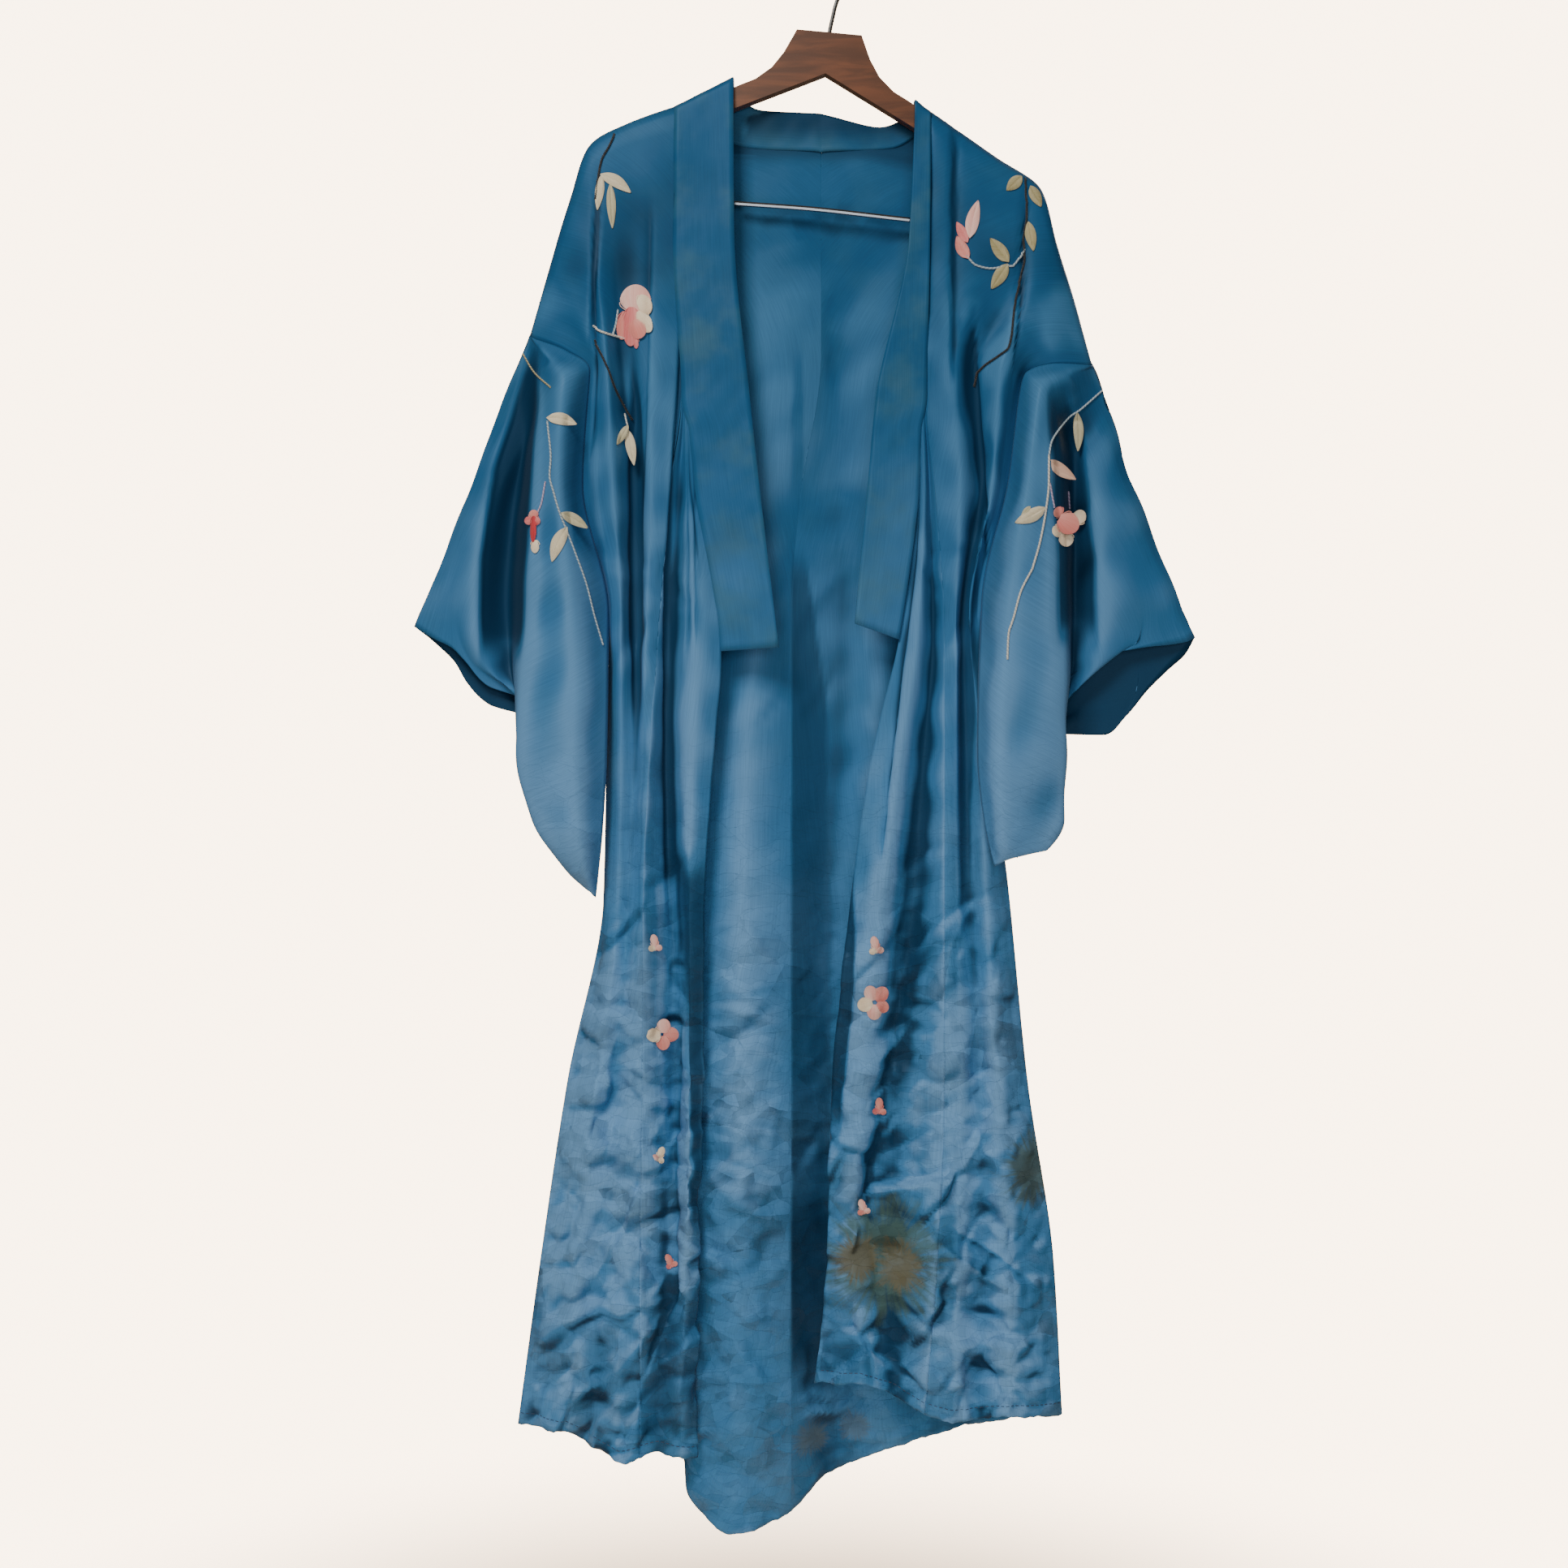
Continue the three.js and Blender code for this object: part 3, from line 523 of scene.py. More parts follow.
skirtCreases = {
    # x0, z0, x1, z1, width, depth: minus is towards the viewer on a front
    "frontRight": [
        (-205, -985, -180, -1010, 6, -3), (-262, -1105, -196, -1150, 9, -5), (-268, -1165, -205, -1105, 8, 4),
        (-190, -1085, -150, -1150, 8, -5), (-285, -1230, -222, -1182, 9, -5), (-270, -1262, -190, -1210, 10, 5),
        (-222, -1225, -158, -1290, 9, -6), (-180, -1180, -140, -1262, 9, 5), (-292, -1322, -232, -1258, 9, -5),
        (-240, -1340, -170, -1262, 10, -5), (-200, -1352, -150, -1318, 8, 4), (-255, -1300, -205, -1350, 8, 5),
        (-236, -1150, -246, -1240, 8, 4), (-225, -1010, -198, -1080, 9, 3),
    ],
    "frontLeft": [
        (10, -960, 60, -905, 8, 4), (18, -1040, 80, -975, 9, -5), (0, -1110, 62, -1062, 9, -5),
        (100, -1010, 150, -1075, 9, -5), (120, -1120, 188, -1075, 10, -5), (-4, -1180, 52, -1130, 9, 5),
        (82, -1182, 180, -1242, 12, -7), (70, -1215, 165, -1270, 10, 6), (60, -1268, 198, -1285, 8, -5),
        (5, -1242, 70, -1206, 9, -4), (110, -1300, 195, -1322, 9, 4), (-12, -1262, 40, -1292, 9, -5),
        (50, -1080, 40, -1180, 9, 5), (125, -1150, 172, -1196, 8, 4),
    ],
    "backRight": [
        (-125, -1020, -60, -980, 9, -4), (-128, -1130, -62, -1090, 10, -5), (-120, -1165, -52, -1225, 10, 5),
        (-126, -1240, -60, -1205, 9, -5), (-118, -1290, -60, -1345, 10, -6), (-120, -1360, -70, -1330, 9, 4),
        (-110, -1400, -60, -1420, 8, -4), (-240, -1080, -160, -1140, 12, 6), (-250, -1180, -170, -1130, 12, -6),
        (-260, -1250, -180, -1300, 12, 6),
    ],
    "backLeft": [
        (-30, -1290, 20, -1340, 9, -4), (0, -1340, 60, -1320, 9, 4), (-30, -1380, 30, -1350, 8, -4),
        (60, -1060, 150, -1120, 12, 6), (70, -1180, 170, -1130, 12, -6), (80, -1250, 180, -1290, 12, 6),
    ],
}


foldsAndPaintedShade = {
    # soft rim, depth, painted shade (below zero, painted light), then rows of (height, one edge, other edge) as they
    # appear from the front
    "frontRight": [
        (40, 0.0, 0.7, [(-60, -330, -60), (-200, -330, -60), (-330, -330, -60)]),
        (30, 0.0, -1.2, [(-930, -255, -170), (-1060, -262, -170), (-1180, -275, -175), (-1270, -282, -200)]),
        (3, 2.0, 1.1, [(-215, -222, -219), (-300, -227, -222), (-367, -230, -225)]),
        (14, 1.0, 0.6, [(-270, -204, -188), (-340, -203, -186), (-420, -196, -180)]),
        (7, 3.0, 1.1, [(-400, -191, -186), (-472, -192, -183), (-600, -190, -182), (-700, -188, -184),
         (-760, -187, -186)]),
        (3, 1.5, 0.9, [(-391, -146, -142), (-472, -153, -148), (-577, -159, -153), (-700, -160, -154)]),
        (2, 1.0, 0.7, [(-451, -139, -137), (-490, -137, -135), (-577, -128, -126)]),
        (8, 0.0, -1.4, [(-850, -168, -150), (-1000, -166, -146), (-1100, -162, -141), (-1190, -158, -138),
         (-1240, -156, -140)]),
        (9, 1.5, 1.1, [(-840, -150, -118), (-920, -146, -120), (-1000, -141, -122), (-1100, -136, -123),
         (-1200, -133, -124)]),
        (6, 1.0, 0.8, [(-1237, -150, -125), (-1300, -166, -125), (-1330, -178, -125), (-1400, -190, -126)]),
    ],
    "frontLeft": [
        (40, 0.0, 0.7, [(-60, 60, 300), (-200, 60, 300), (-330, 60, 300)]),
        (8, 2.0, 0.9, [(-520, 124, 132), (-600, 116, 130), (-700, 112, 128), (-800, 112, 122), (-900, 115, 120)]),
        (8, 2.0, 0.8, [(-1182, 78, 98), (-1200, 92, 130), (-1216, 112, 152), (-1232, 140, 176), (-1246, 165, 186)]),
        (5, 1.5, 0.8, [(-1165, 28, 36), (-1215, 31, 37), (-1245, 33, 40)]),
        (4, 1.5, 0.8, [(-160, 82, 86), (-260, 82, 86), (-352, 80, 84)]),
        (4, 1.5, 0.8, [(-170, 105, 109), (-280, 105, 109), (-400, 104, 108)]),
        (5, 2.0, 1.2, [(-850, -8, 14), (-937, -10, 16), (-1020, -8, 8), (-1100, -9, 2)]),
        (16, 0.0, -0.9, [(-850, 66, 84), (-937, 50, 66), (-1023, 38, 54), (-1102, 26, 42), (-1170, 20, 34)]),
        (12, 2.0, 0.15, [(-880, 62, 78), (-937, 50, 66), (-1020, 38, 54), (-1102, 28, 42), (-1177, 22, 32)]),
        (12, 0.0, -0.9, [(-1140, 112, 160), (-1250, 108, 165), (-1350, 108, 165)]),
        (16, 0.0, -0.8, [(-960, 76, 150), (-1100, 56, 160), (-1172, 60, 120)]),
        (8, 0.0, -0.8, [(-1040, 56, 80), (-1100, 47, 76), (-1170, 42, 72)]),
        (6, 2.0, 0.8, [(-1280, -14, 30), (-1310, -18, 32), (-1332, -20, 34)]),
    ],
    "sleeveRight": [
        (8, 4.5, 1.5, [(-372, -284, -275), (-395, -289, -277), (-442, -303, -279), (-484, -317, -282),
         (-526, -324, -284), (-568, -330, -287), (-620, -331, -290), (-660, -330, -291)]),
        (5, 2.0, 0.7, [(-440, -240, -228), (-500, -244, -232), (-560, -244, -228)]),
    ],
    "sleeveLeft": [
        (8, 5.0, 1.2, [(-415, 195, 212), (-462, 198, 226), (-568, 204, 238), (-648, 204, 241)]),
    ],
    "collar": [
        (5, 0.0, 1.2, [(-136, 10, 68), (-148, -40, 70), (-160, -84, 72), (-185, -84, 72)]),
    ],
    "backInside": [
        (8, 0.0, 1.3, [(-150, -90, 74), (-180, -90, 74), (-203, -90, 74)]),
        (5, 0.0, 0.9, [(-560, -43, -30), (-700, -43, -10), (-900, -43, -8), (-1250, -43, -6), (-1330, -43, 0)]),
        (8, 0.0, 0.7, [(-241, -95, -50), (-249, -95, 10), (-257, -80, 66), (-265, -30, 66), (-272, 20, 66)]),
        (20, 0.0, 0.4, [(-1150, -150, 200), (-1300, -150, 200), (-1480, -150, 200)]),
        (4, 0.0, 0.6, [(-372, -42, -32), (-500, -43, -32)]),
        (60, 0.0, -0.7, [(-285, -120, 100), (-420, -120, 100), (-520, -120, 100)]),
    ],
}


def pressed(paintedShading, dark):
    # a band's painted shade or painted light takes the place of the painted shading within it
    return paintedShading * (1 - np.clip(dark, 0, 1)) + dark


def apparent(points):
    # where points appear in the plane of the hanger, seen from the front
    cx, cz = view["centre"]
    nearer = view["distance"] / (view["distance"] + points[..., 1])
    return cx + (points[..., 0] - cx) * nearer, cz + (points[..., 2] - cz) * nearer


def foldPushAndShade(key, points):
    # how far the deep folds press the cloth in, and the painted shade or painted light over them
    x, z = apparent(points)
    push, dark = np.zeros_like(x), np.zeros_like(x)
    for rim, depth, paintedShade, rows in foldsAndPaintedShade[key]:
        heights, left, right = (np.array(column[::-1]) * mm for column in zip(*rows))
        soft = rim * mm / 2
        edgeA, edgeB = np.interp(z, heights, left), np.interp(z, heights, right)
        share = smooth(edgeA - soft, edgeA + soft, x) * (1 - smooth(edgeB - soft, edgeB + soft, x))
        fade = min(0.035, 0.4 * (heights[-1] - heights[0]))
        share *= smooth(heights[0] - fade / 2, heights[0] + fade, z)
        share *= 1 - smooth(heights[-1] - fade, heights[-1] + fade / 2, z)
        push += depth * mm * share
        dark += paintedShade * share
    return push, dark


def skirtSpots(side, isFront):
    # places low on the skirts for the smaller creases, denser towards the hem
    last = side["shoulderAt"] if isFront else side["last"]
    us = np.linspace(0.2, 8 if isFront else 4.8, 40)
    first, end = (0, last - 4) if isFront else (side["shoulderAt"] + 4, last)
    points = surfaceAt(side["rows"], us, np.linspace(first, end, 160)).reshape(-1, 3)
    top = clothSettings["crumpleTop"]
    low = smooth(top, clothSettings["crumpleFull"] - 0.1, points[:, 2])
    keep = np.random.default_rng(7).random(len(points)) < 0.04 + low**1.5
    return points[keep & (points[:, 2] < top + 0.25)][:, [0, 2]]


def allCreases(side, key, seed):
    spots = skirtSpots(side, key.startswith("front"))
    return skirtCreases[key] + scatterCreases(seed, spots, **smallCreases)


def panelCreases(points, us, vs, side, name):
    # offset inwards; the side seams, the centre-back seam and the fold over the hanger stay quiet
    x, z = points[..., 0], points[..., 2]
    low = 1 - smooth(clothSettings["crumpleFull"], clothSettings["crumpleTop"], z)
    drape, crush = np.zeros_like(x), np.zeros_like(x)
    for key, seed in (("front" + name, 3), ("back" + name, 21)):
        isFront = key.startswith("front")
        here = ((vs < side["shoulderAt"]) == isFront)[:, None]
        field = creaseField(allCreases(side, key, seed), x, z)
        share = low * (1.0 if isFront else 0.7)
        for layer, (cell, lean) in enumerate(crumpleSettings["cells"]):
            field += share * crumple(x, z, seed + 50 * layer, cell, lean)
        hang = 0.5 * mm * waves(seed + 5, 6, 60 * mm, x, z)
        if isFront:
            hang += tuckField(frontTucks[name], x, z)
        above = z - side["hem"][key](x)
        ripple = np.sin(x / (4.2 * mm) + 1.5 * waves(seed + 9, 4, 50 * mm, x, z))
        for part, shape in (("pucker", ripple), ("turnedEdge", 1.0)):
            depth, height, spread = hemShape[part]
            field += depth * shape * np.exp(-(((above - height) / spread) ** 2))
        calm = smooth(0, 0.6, us) * (1 if isFront else 1 - smooth(4.3, 5, us))
        drape += np.where(here, hang * calm[None, :], 0)
        crush += np.where(here, field * calm[None, :], 0)
    away = smooth(0, 1.6, np.abs(vs - side["shoulderAt"]))[:, None]
    return drape * away, crush * away


def facing(rows, us, vs):
    d = 0.02
    top = rows.shape[0] - 1
    across = surfaceAt(rows, us + d, vs) - surfaceAt(rows, us - d, vs)
    down = surfaceAt(rows, us, np.minimum(vs + d, top)) - surfaceAt(rows, us, np.maximum(vs - d, 0))
    return unit(np.cross(across, down))


def rowPlaces(side, last, column):
    # row places spaced by real length, closer where the cloth is crumpled
    probe = np.linspace(0, last, 40 * int(last) + 1)
    line = surfaceAt(side["rows"], np.array([column]), probe)[:, 0]
    lengths = np.linalg.norm(np.diff(line, axis=0), axis=1)
    heights = 0.5 * (line[1:, 2] + line[:-1, 2])
    isLow = heights < clothSettings["crumpleTop"]
    step = np.where(isLow, clothSettings["fineStep"], clothSettings["smoothStep"])
    counts = np.concatenate([[0], np.cumsum(lengths / step)])
    return np.interp(np.linspace(0, counts[-1], int(counts[-1]) + 1), counts, probe)


def shiftEdge(grid, at, inner, distance):
    grid[:, at] += unit(grid[:, inner] - grid[:, at]) * distance


def blur(grid, reach, axis, closed=False):
    still = [(0, 0)] * (grid.ndim - 1)
    padded = np.pad(np.moveaxis(grid, axis, 0), [(reach, reach), *still], mode="wrap" if closed else "edge")
    sums = np.pad(np.cumsum(padded, axis=0), [(1, 0), *still])
    count = 2 * reach + 1
    return np.moveaxis((sums[count:] - sums[:-count]) / count, 0, axis)


def paintedFoldShade(grid, outward, reach, closed=False):
    # how far each point lies in a hollow (+) or on a crest (-) of the cloth, on two scales; it sets the painted
    # shade and painted highlights
    total = 0
    for share, weight in ((1, 0.85), (0.4, 0.4)):
        rows, cols = (max(1, round(r * share)) for r in reach)
        mean = blur(blur(grid, rows, 0), cols, 1, closed)
        mean = blur(blur(mean, rows, 0), cols, 1, closed)
        total = total + weight * ((mean - grid) * outward).sum(-1) / (3.2 * mm * share)
    return np.clip(total, -1.5, 1.5)


def meshFromWall(name, grid, thickness, paintedShading, closed=False):
    # the two faces of a sheet and its rims, as one shell
    rows, cols = grid.shape[:2]
    offset = crossNormals(grid, closed) * thickness / 2
    points = np.concatenate([grid - offset, grid + offset]).reshape(-1, 3)
    at = lambda side, a, b: side * rows * cols + a * cols + b % cols
    quads = lambda *corners: np.stack([at(*corner) for corner in corners], 1)
    downs, spans = np.arange(rows - 1), np.arange(cols if closed else cols - 1)
    i, j = (k.ravel() for k in np.meshgrid(downs, spans, indexing="ij"))
    faces = [
        quads((0, i, j), (0, i + 1, j), (0, i + 1, j + 1), (0, i, j + 1)),
        quads((1, i, j), (1, i, j + 1), (1, i + 1, j + 1), (1, i + 1, j)),
    ]
    i, j, end = downs, spans, rows - 1
    faces.append(quads((0, 0, j), (0, 0, j + 1), (1, 0, j + 1), (1, 0, j)))
    faces.append(quads((0, end, j + 1), (0, end, j), (1, end, j), (1, end, j + 1)))
    if not closed:
        end = cols - 1
        faces.append(quads((0, i + 1, 0), (0, i, 0), (1, i, 0), (1, i + 1, 0)))
        faces.append(quads((0, i, end), (0, i + 1, end), (1, i + 1, end), (1, i, end)))
    faces = np.concatenate(faces)
    a, b, c, d = points[faces].swapaxes(0, 1)
    if (a * (np.cross(b, c) + np.cross(c, d))).sum() < 0:  # a shell that is inside out
        faces = faces[:, ::-1]
    mesh = bpy.data.meshes.new(name)
    mesh.vertices.add(len(points))
    mesh.vertices.foreach_set("co", points.ravel())
    mesh.loops.add(faces.size)
    mesh.loops.foreach_set("vertex_index", faces.ravel())
    mesh.polygons.add(len(faces))
    mesh.polygons.foreach_set("loop_start", np.arange(len(faces)) * 4)
    mesh.polygons.foreach_set("use_smooth", np.ones(len(faces), dtype=bool))
    # cut coordinates in metres: along each section, then down the length
    lengths = lambda axis: np.cumsum(np.linalg.norm(np.diff(grid, axis=axis), axis=2), axis=axis)
    wide, long = np.pad(lengths(1), ((0, 0), (1, 0))), np.pad(lengths(0), ((1, 0), (0, 0)))
    flat = np.stack([wide, long], -1).reshape(-1, 2)
    layer = mesh.uv_layers.new(name="cut")
    layer.data.foreach_set("uv", np.concatenate([flat, flat])[faces.ravel()].ravel())
    # the painted shading per point: painted shade in hollows, painted light on crests
    depth = mesh.attributes.new("paintedShading", "FLOAT", "POINT")
    depth.data.foreach_set("value", np.concatenate(paintedShading).ravel().astype(np.float32))
    mesh.update()
    mesh.validate()
    return addObject(name, mesh)


# the way the painted light on up-turned crease slants comes from
lightWay = unit(np.array([-0.35, -0.1, 0.92]))


def gleam(grid, drape, out):
    # how far the creases turn the cloth up towards the light
    turned = []
    for sheet in (grid, drape):
        normals = crossNormals(sheet)
        turned.append(normals * np.sign((normals * out).sum(-1, keepdims=True)))
    return np.clip(((turned[0] - turned[1]) * lightWay).sum(-1), -0.6, 0.6)


def bothFaces(inner, outer, inward):
    return (inner, outer) if inward > 0 else (outer, inner)


def hemRipple(grid, side, name, vs):
    # small scallops where the hem's stitching draws the cloth up
    isFront = vs < side["shoulderAt"]
    for key, isHere in (("front" + name, isFront), ("back" + name, ~isFront)):
        x = grid[..., 0]
        above = grid[..., 2] - side["hem"][key](x)
        beat = np.sin(x / (1.7 * mm) + 2.2 * waves(len(key), 4, 40 * mm, x, x))
        swell = waves(len(key) + 2, 4, 34 * mm, x, x)
        rise = (0.45 * mm * beat + 0.8 * mm * swell) * np.exp(-np.abs(above) / (7 * mm))
        grid[..., 2] += np.where(isHere[:, None], rise, 0)


sewn = {}
sheets = {
    # first and last column of the tables, how many columns are made, and the one that sets the row spacing
    "bodyPanel": (0, 5, 80, 2),
    "overlapStrip": (5, 8, 40, 6),
}
# how the painted shading of the cloth is measured
shade = {
    "reach": (4, 7),  # rows and columns over which a fold counts as a hollow
    "fineReach": (2, 3),
    "fine": 0.4,
    "gleam": 2.3,  # how strongly the creases' slants paint light and shade on the silk
}


def makeSheet(label, side, name):
    # folds and creases are laid along the sheet's outward normals
    first, end, columns, spacedBy = sheets[label]
    isStrip = label == "overlapStrip"
    us = np.linspace(first, end, columns)
    vs = rowPlaces(side, side["shoulderAt"] - 3 if isStrip else side["last"], spacedBy)
    grid = surfaceAt(side["rows"], us, vs)
    out = facing(side["rows"], us, vs) * side["inward"]
    isFront = (vs < side["shoulderAt"])[:, None]
    # a strip lies quiet where it narrows to its point
    calm = smooth(8 * mm, 26 * mm, np.linalg.norm(grid[:, -1:] - grid[:, :1], axis=-1))
    # the deep folds press the fronts in and lay painted shade and painted light on them; the backs take the painted
    # shade listed for their inside
    push, dark = foldPushAndShade("front" + name, grid)
    dark = np.where(isFront, dark, foldPushAndShade("backInside", grid)[1])
    drape, crush = panelCreases(grid, us, vs, side, name)
    grid -= out * (calm * (np.where(isFront, push, 0) + drape))[..., None]
    hung = grid.copy()
    grid -= out * (calm * crush)[..., None]
    hemRipple(grid, side, name, vs)
    shiftEdge(grid, 0, 1, clothSettings["seamHalfGap" if isStrip else "armholeHalfGap"])
    shiftEdge(grid, -1, -2, clothSettings["seamHalfGap"])
    # painted shading: dark in the fold hollows, light on crests, and lighter where creases turn up to the light
    paintedShading = paintedFoldShade(hung, out, shade["reach"]) * smooth(0, 0.8, us) * calm
    paintedShading += shade["fine"] * paintedFoldShade(grid, out, shade["fineReach"]) * calm
    paintedShading -= shade["gleam"] * gleam(grid, hung, out)
    # the fronts' outsides take the bands' painted shade and light; the fronts' insides are painted darker
    # throughout, and the backs' painted shading is weaker
    outer = np.where(isFront, pressed(paintedShading, dark), np.clip(0.45 * paintedShading, -0.6, 0.6))
    inner = np.where(isFront, pressed(0.6 - paintedShading, dark * isStrip), pressed(-0.6 * paintedShading, dark))
    sewn[label + name] = (grid, out)
    return meshFromWall(label + name, grid, clothSettings["wall"], bothFaces(inner, outer, side["inward"]))


def collarHalf(side, fold):
    pointRow = side["shoulderAt"] - 3
    endRow = pointRow - 2
    vs = np.linspace(endRow, side["shoulderAt"] + 3, 133)
    x, y, z = fold["shoulder"]
    lips = [[x, -foldRadius[5], z - foldDrop], fold["shoulder"], [x, foldRadius[5], z - foldDrop]]
    knots = np.array([*reversed(fold["front"]), *lips, *fold["back"]]) * mm
    free = alongCurve(knots, vs - endRow)
    strip = surfaceAt(side["rows"], np.array([8.0, 5.0]), vs)
    onStrip = 1 - smooth(pointRow - 0.4, pointRow, vs)[:, None]
    seam = strip[:, 0] * onStrip + strip[:, 1] * (1 - onStrip)
    f = np.linspace(0, 1, 13)[None, :, None]
    return seam[:, None] * (1 - f) + free[:, None] * f


def makeCollar():
    right = collarHalf(rightSide, collarFold["right"])
    left = collarHalf(leftSide, collarFold["left"])
    grid = np.concatenate([right, left[::-1][1:]])
    x, z = grid[..., 0], grid[..., 2]
    normals = crossNormals(grid)
    ease = 0.8 * mm * waves(77, 6, 70 * mm, x, z) + 0.3 * mm * waves(78, 6, 24 * mm, x, z)
    grid = grid + normals * ease[..., None] * 0.6
    shiftEdge(grid, 0, 1, clothSettings["seamHalfGap"] - 0.2 * mm)
    # painted shading on both faces, a little darker throughout, with a painted shadow band low on the collar stand
    # at the back
    paintedShading = paintedFoldShade(grid, normals, (4, 2))
    _, dark = foldPushAndShade("collar", grid)
    faces = (pressed(0.25 - 0.5 * paintedShading, dark), pressed(0.25 + 0.5 * paintedShading, dark))
    return meshFromWall("collarBand", grid, clothSettings["collarWall"], faces)


def ringKnots(front, table, n):
    share = (n + 1) / len(table["folds"])
    outward = math.copysign(1, front[0][0])
    back = []
    for station in range(1, 8):
        x, _, z = front[station]
        if station >= 5:
            edge = table["freeBack"][0][station - 5]
            x = outward * max(outward * x, outward * edge + bagClearance)
        depth = table["backDepth"][n] * backSpread[station]
        back.append([x, depth, z - table["sag"][station] * share * share])
    return front + back[::-1]


sleeveSize = {"stations": 224, "rows": 67}


def makeSleeve(side, table, name):
    stations = np.linspace(0, 16, sleeveSize["stations"], endpoint=False)
    rings = [ringKnots(rowPoints(row, 9), table, n) for n, row in enumerate(table["folds"])]
    curves = [alongCurve(np.array(knots + knots[:1]) * mm, stations) for knots in rings]
    top = side["shoulderAt"]
    edge = lambda vs: surfaceAt(side["rows"], np.array([0.0]), vs)[:, 0]
    seamEnds = edge(np.array([top - armholeEnd, top + armholeEnd])) / mm
    freeFront = rowPoints(table["freeFront"], 4)
    freeBack = rowPoints(table["freeBack"], 3)
    frontTail = np.array([list(seamEnds[0]), *freeFront]) * mm
    backTail = np.array([freeFront[3], *reversed(freeBack), list(seamEnds[1])]) * mm
    toRow = lambda s: np.where(s < 1, 2 * s, s + 1)
    seamAt = lambda s, way: edge(top + way * toRow(s))
    # the inner edge: down the front seam and the free edge below it, then up the same way behind
    quarters = (
        seamAt(np.clip(stations, 0, 4), -1),
        alongCurve(frontTail, np.clip(stations - 4, 0, 4)),
        alongCurve(backTail, np.clip(stations - 8, 0, 4)),
        seamAt(np.clip(16 - stations, 0, 4), 1),
    )
    quarter = np.clip(np.ceil(stations / 4), 1, 4).astype(int) - 1
    seam = np.choose(quarter[:, None], quarters)
    along = np.linspace(0, len(rings), sleeveSize["rows"])
    grid = alongCurve(np.array([seam, *curves]), along)
    eased = blur(blur(grid, 3, 0), 4, 1, closed=True)
    nearCuff = smooth(3.2, 4.2, along)[:, None, None] * (1 - smooth(5.5, 6, along))[:, None, None]
    grid += (eased - grid) * nearCuff
    normals = crossNormals(grid, closed=True)
    x, z = grid[..., 0], grid[..., 2]
    edges = smooth(0, 0.5, along)[:, None]
    outward = 1 if ((grid - grid.mean(axis=1, keepdims=True)) * normals).sum(-1).mean() > 0 else -1
    field = 0.7 * mm * waves(31 + len(name), 7, 52 * mm, x, z)
    push, dark = foldPushAndShade("sleeve" + name, grid)
    isFront = ((stations < 8) & (stations > 0))[None, :] * edges
    grid = grid + normals * (field * edges)[..., None]
    grid[..., 1] += push * isFront
    grid[0] += unit(grid[1] - grid[0]) * clothSettings["armholeHalfGap"]
    # painted shading: dark in the hollows, painted lighter at the sleeve head, painted shade of the folds on the
    # front, and the inside painted dark throughout
    paintedShading = outward * paintedFoldShade(grid, normals, (5, 4), closed=True) * smooth(0, 1, along)[:, None]
    paintedHeadLight = 0.45 * (1 - smooth(0.2, 1.3, along))[:, None]
    faces = bothFaces(np.full_like(paintedShading, 1.5), pressed(paintedShading - paintedHeadLight, dark * isFront), outward)
    return meshFromWall("sleeve" + name, grid, clothSettings["wall"], faces, closed=True)


pieces = {
    "body_right": makeSheet("bodyPanel", rightSide, "Right"),
    "body_left": makeSheet("bodyPanel", leftSide, "Left"),
    "okumi_right": makeSheet("overlapStrip", rightSide, "Right"),
    "okumi_left": makeSheet("overlapStrip", leftSide, "Left"),
    "collar": makeCollar(),
    "sleeve_right": makeSleeve(rightSide, sleeveRight, "Right"),
    "sleeve_left": makeSleeve(leftSide, sleeveLeft, "Left"),
}
for piece in pieces.values():
    print("cloth:", piece.name, len(piece.data.polygons) * 2, "triangles")

# ---- finishes ----


def mixColour(tree, share, first, second):
    return addNode(tree, "ShaderNodeMix", {"data_type": "RGBA", 0: share, 6: first, 7: second}).outputs[2]


def shareOf(tree, source, low, high, most):
    return maths(tree, "MULTIPLY", ramp(tree, source, low, high), most)


silk = {
    # the pale tone gives lighter clouds and the painted highlights on crests; the darkest tone is the painted shade
    # in hollows and on facets, and also darkens the weave's threads
    "crest": "#86BCF2",
    "plain": "#4585BE",
    "paintedShading": "#07233E",
    "upper": "#1F5482",
    "upperCloudAndHighlight": "#4C86B6",
    "worn": "#4A7484",
    "glint": "#8FC0E8",  # what the dyed filaments give back
    "roughness": 0.47,
    "specular": 0.32,
    "sheen": 0.08,
    "threadPitch": 0.9 * mm,  # drawn coarser than the real weave so that it shows
    "heights": (-0.95, -0.3),  # the colour changes from skirt to shoulder between these
    "clouds": (0.4, 0.7, 0.2),  # each of these: from, to, and the share at its most
    "wear": (0.38, 0.72),
    # the ramps of the painted highlight on crests, the painted shade in hollows and the painted shade of the crushed
    # facets
    "crests": (0.0, -1.3, 0.6),
    "paintedFoldShade": (0.05, 1.4, 0.85),
    "facets": (0.46, 0.24, 0.14),
    "threads": 0.14,
}

stains = [
    # centre x, y, z and radius in metres, share of brown
    ((0.042, -0.022, -1.212), 0.056, 0.0),
    ((0.181, -0.012, -1.129), 0.033, 0.25),
    ((0.018, -0.022, -1.210), 0.022, 1.0),
    ((0.057, -0.022, -1.219), 0.024, 1.0),
    ((-0.024, 0.022, -1.388), 0.016, 0.7),
    ((0.018, 0.022, -1.378), 0.014, 0.8),
]


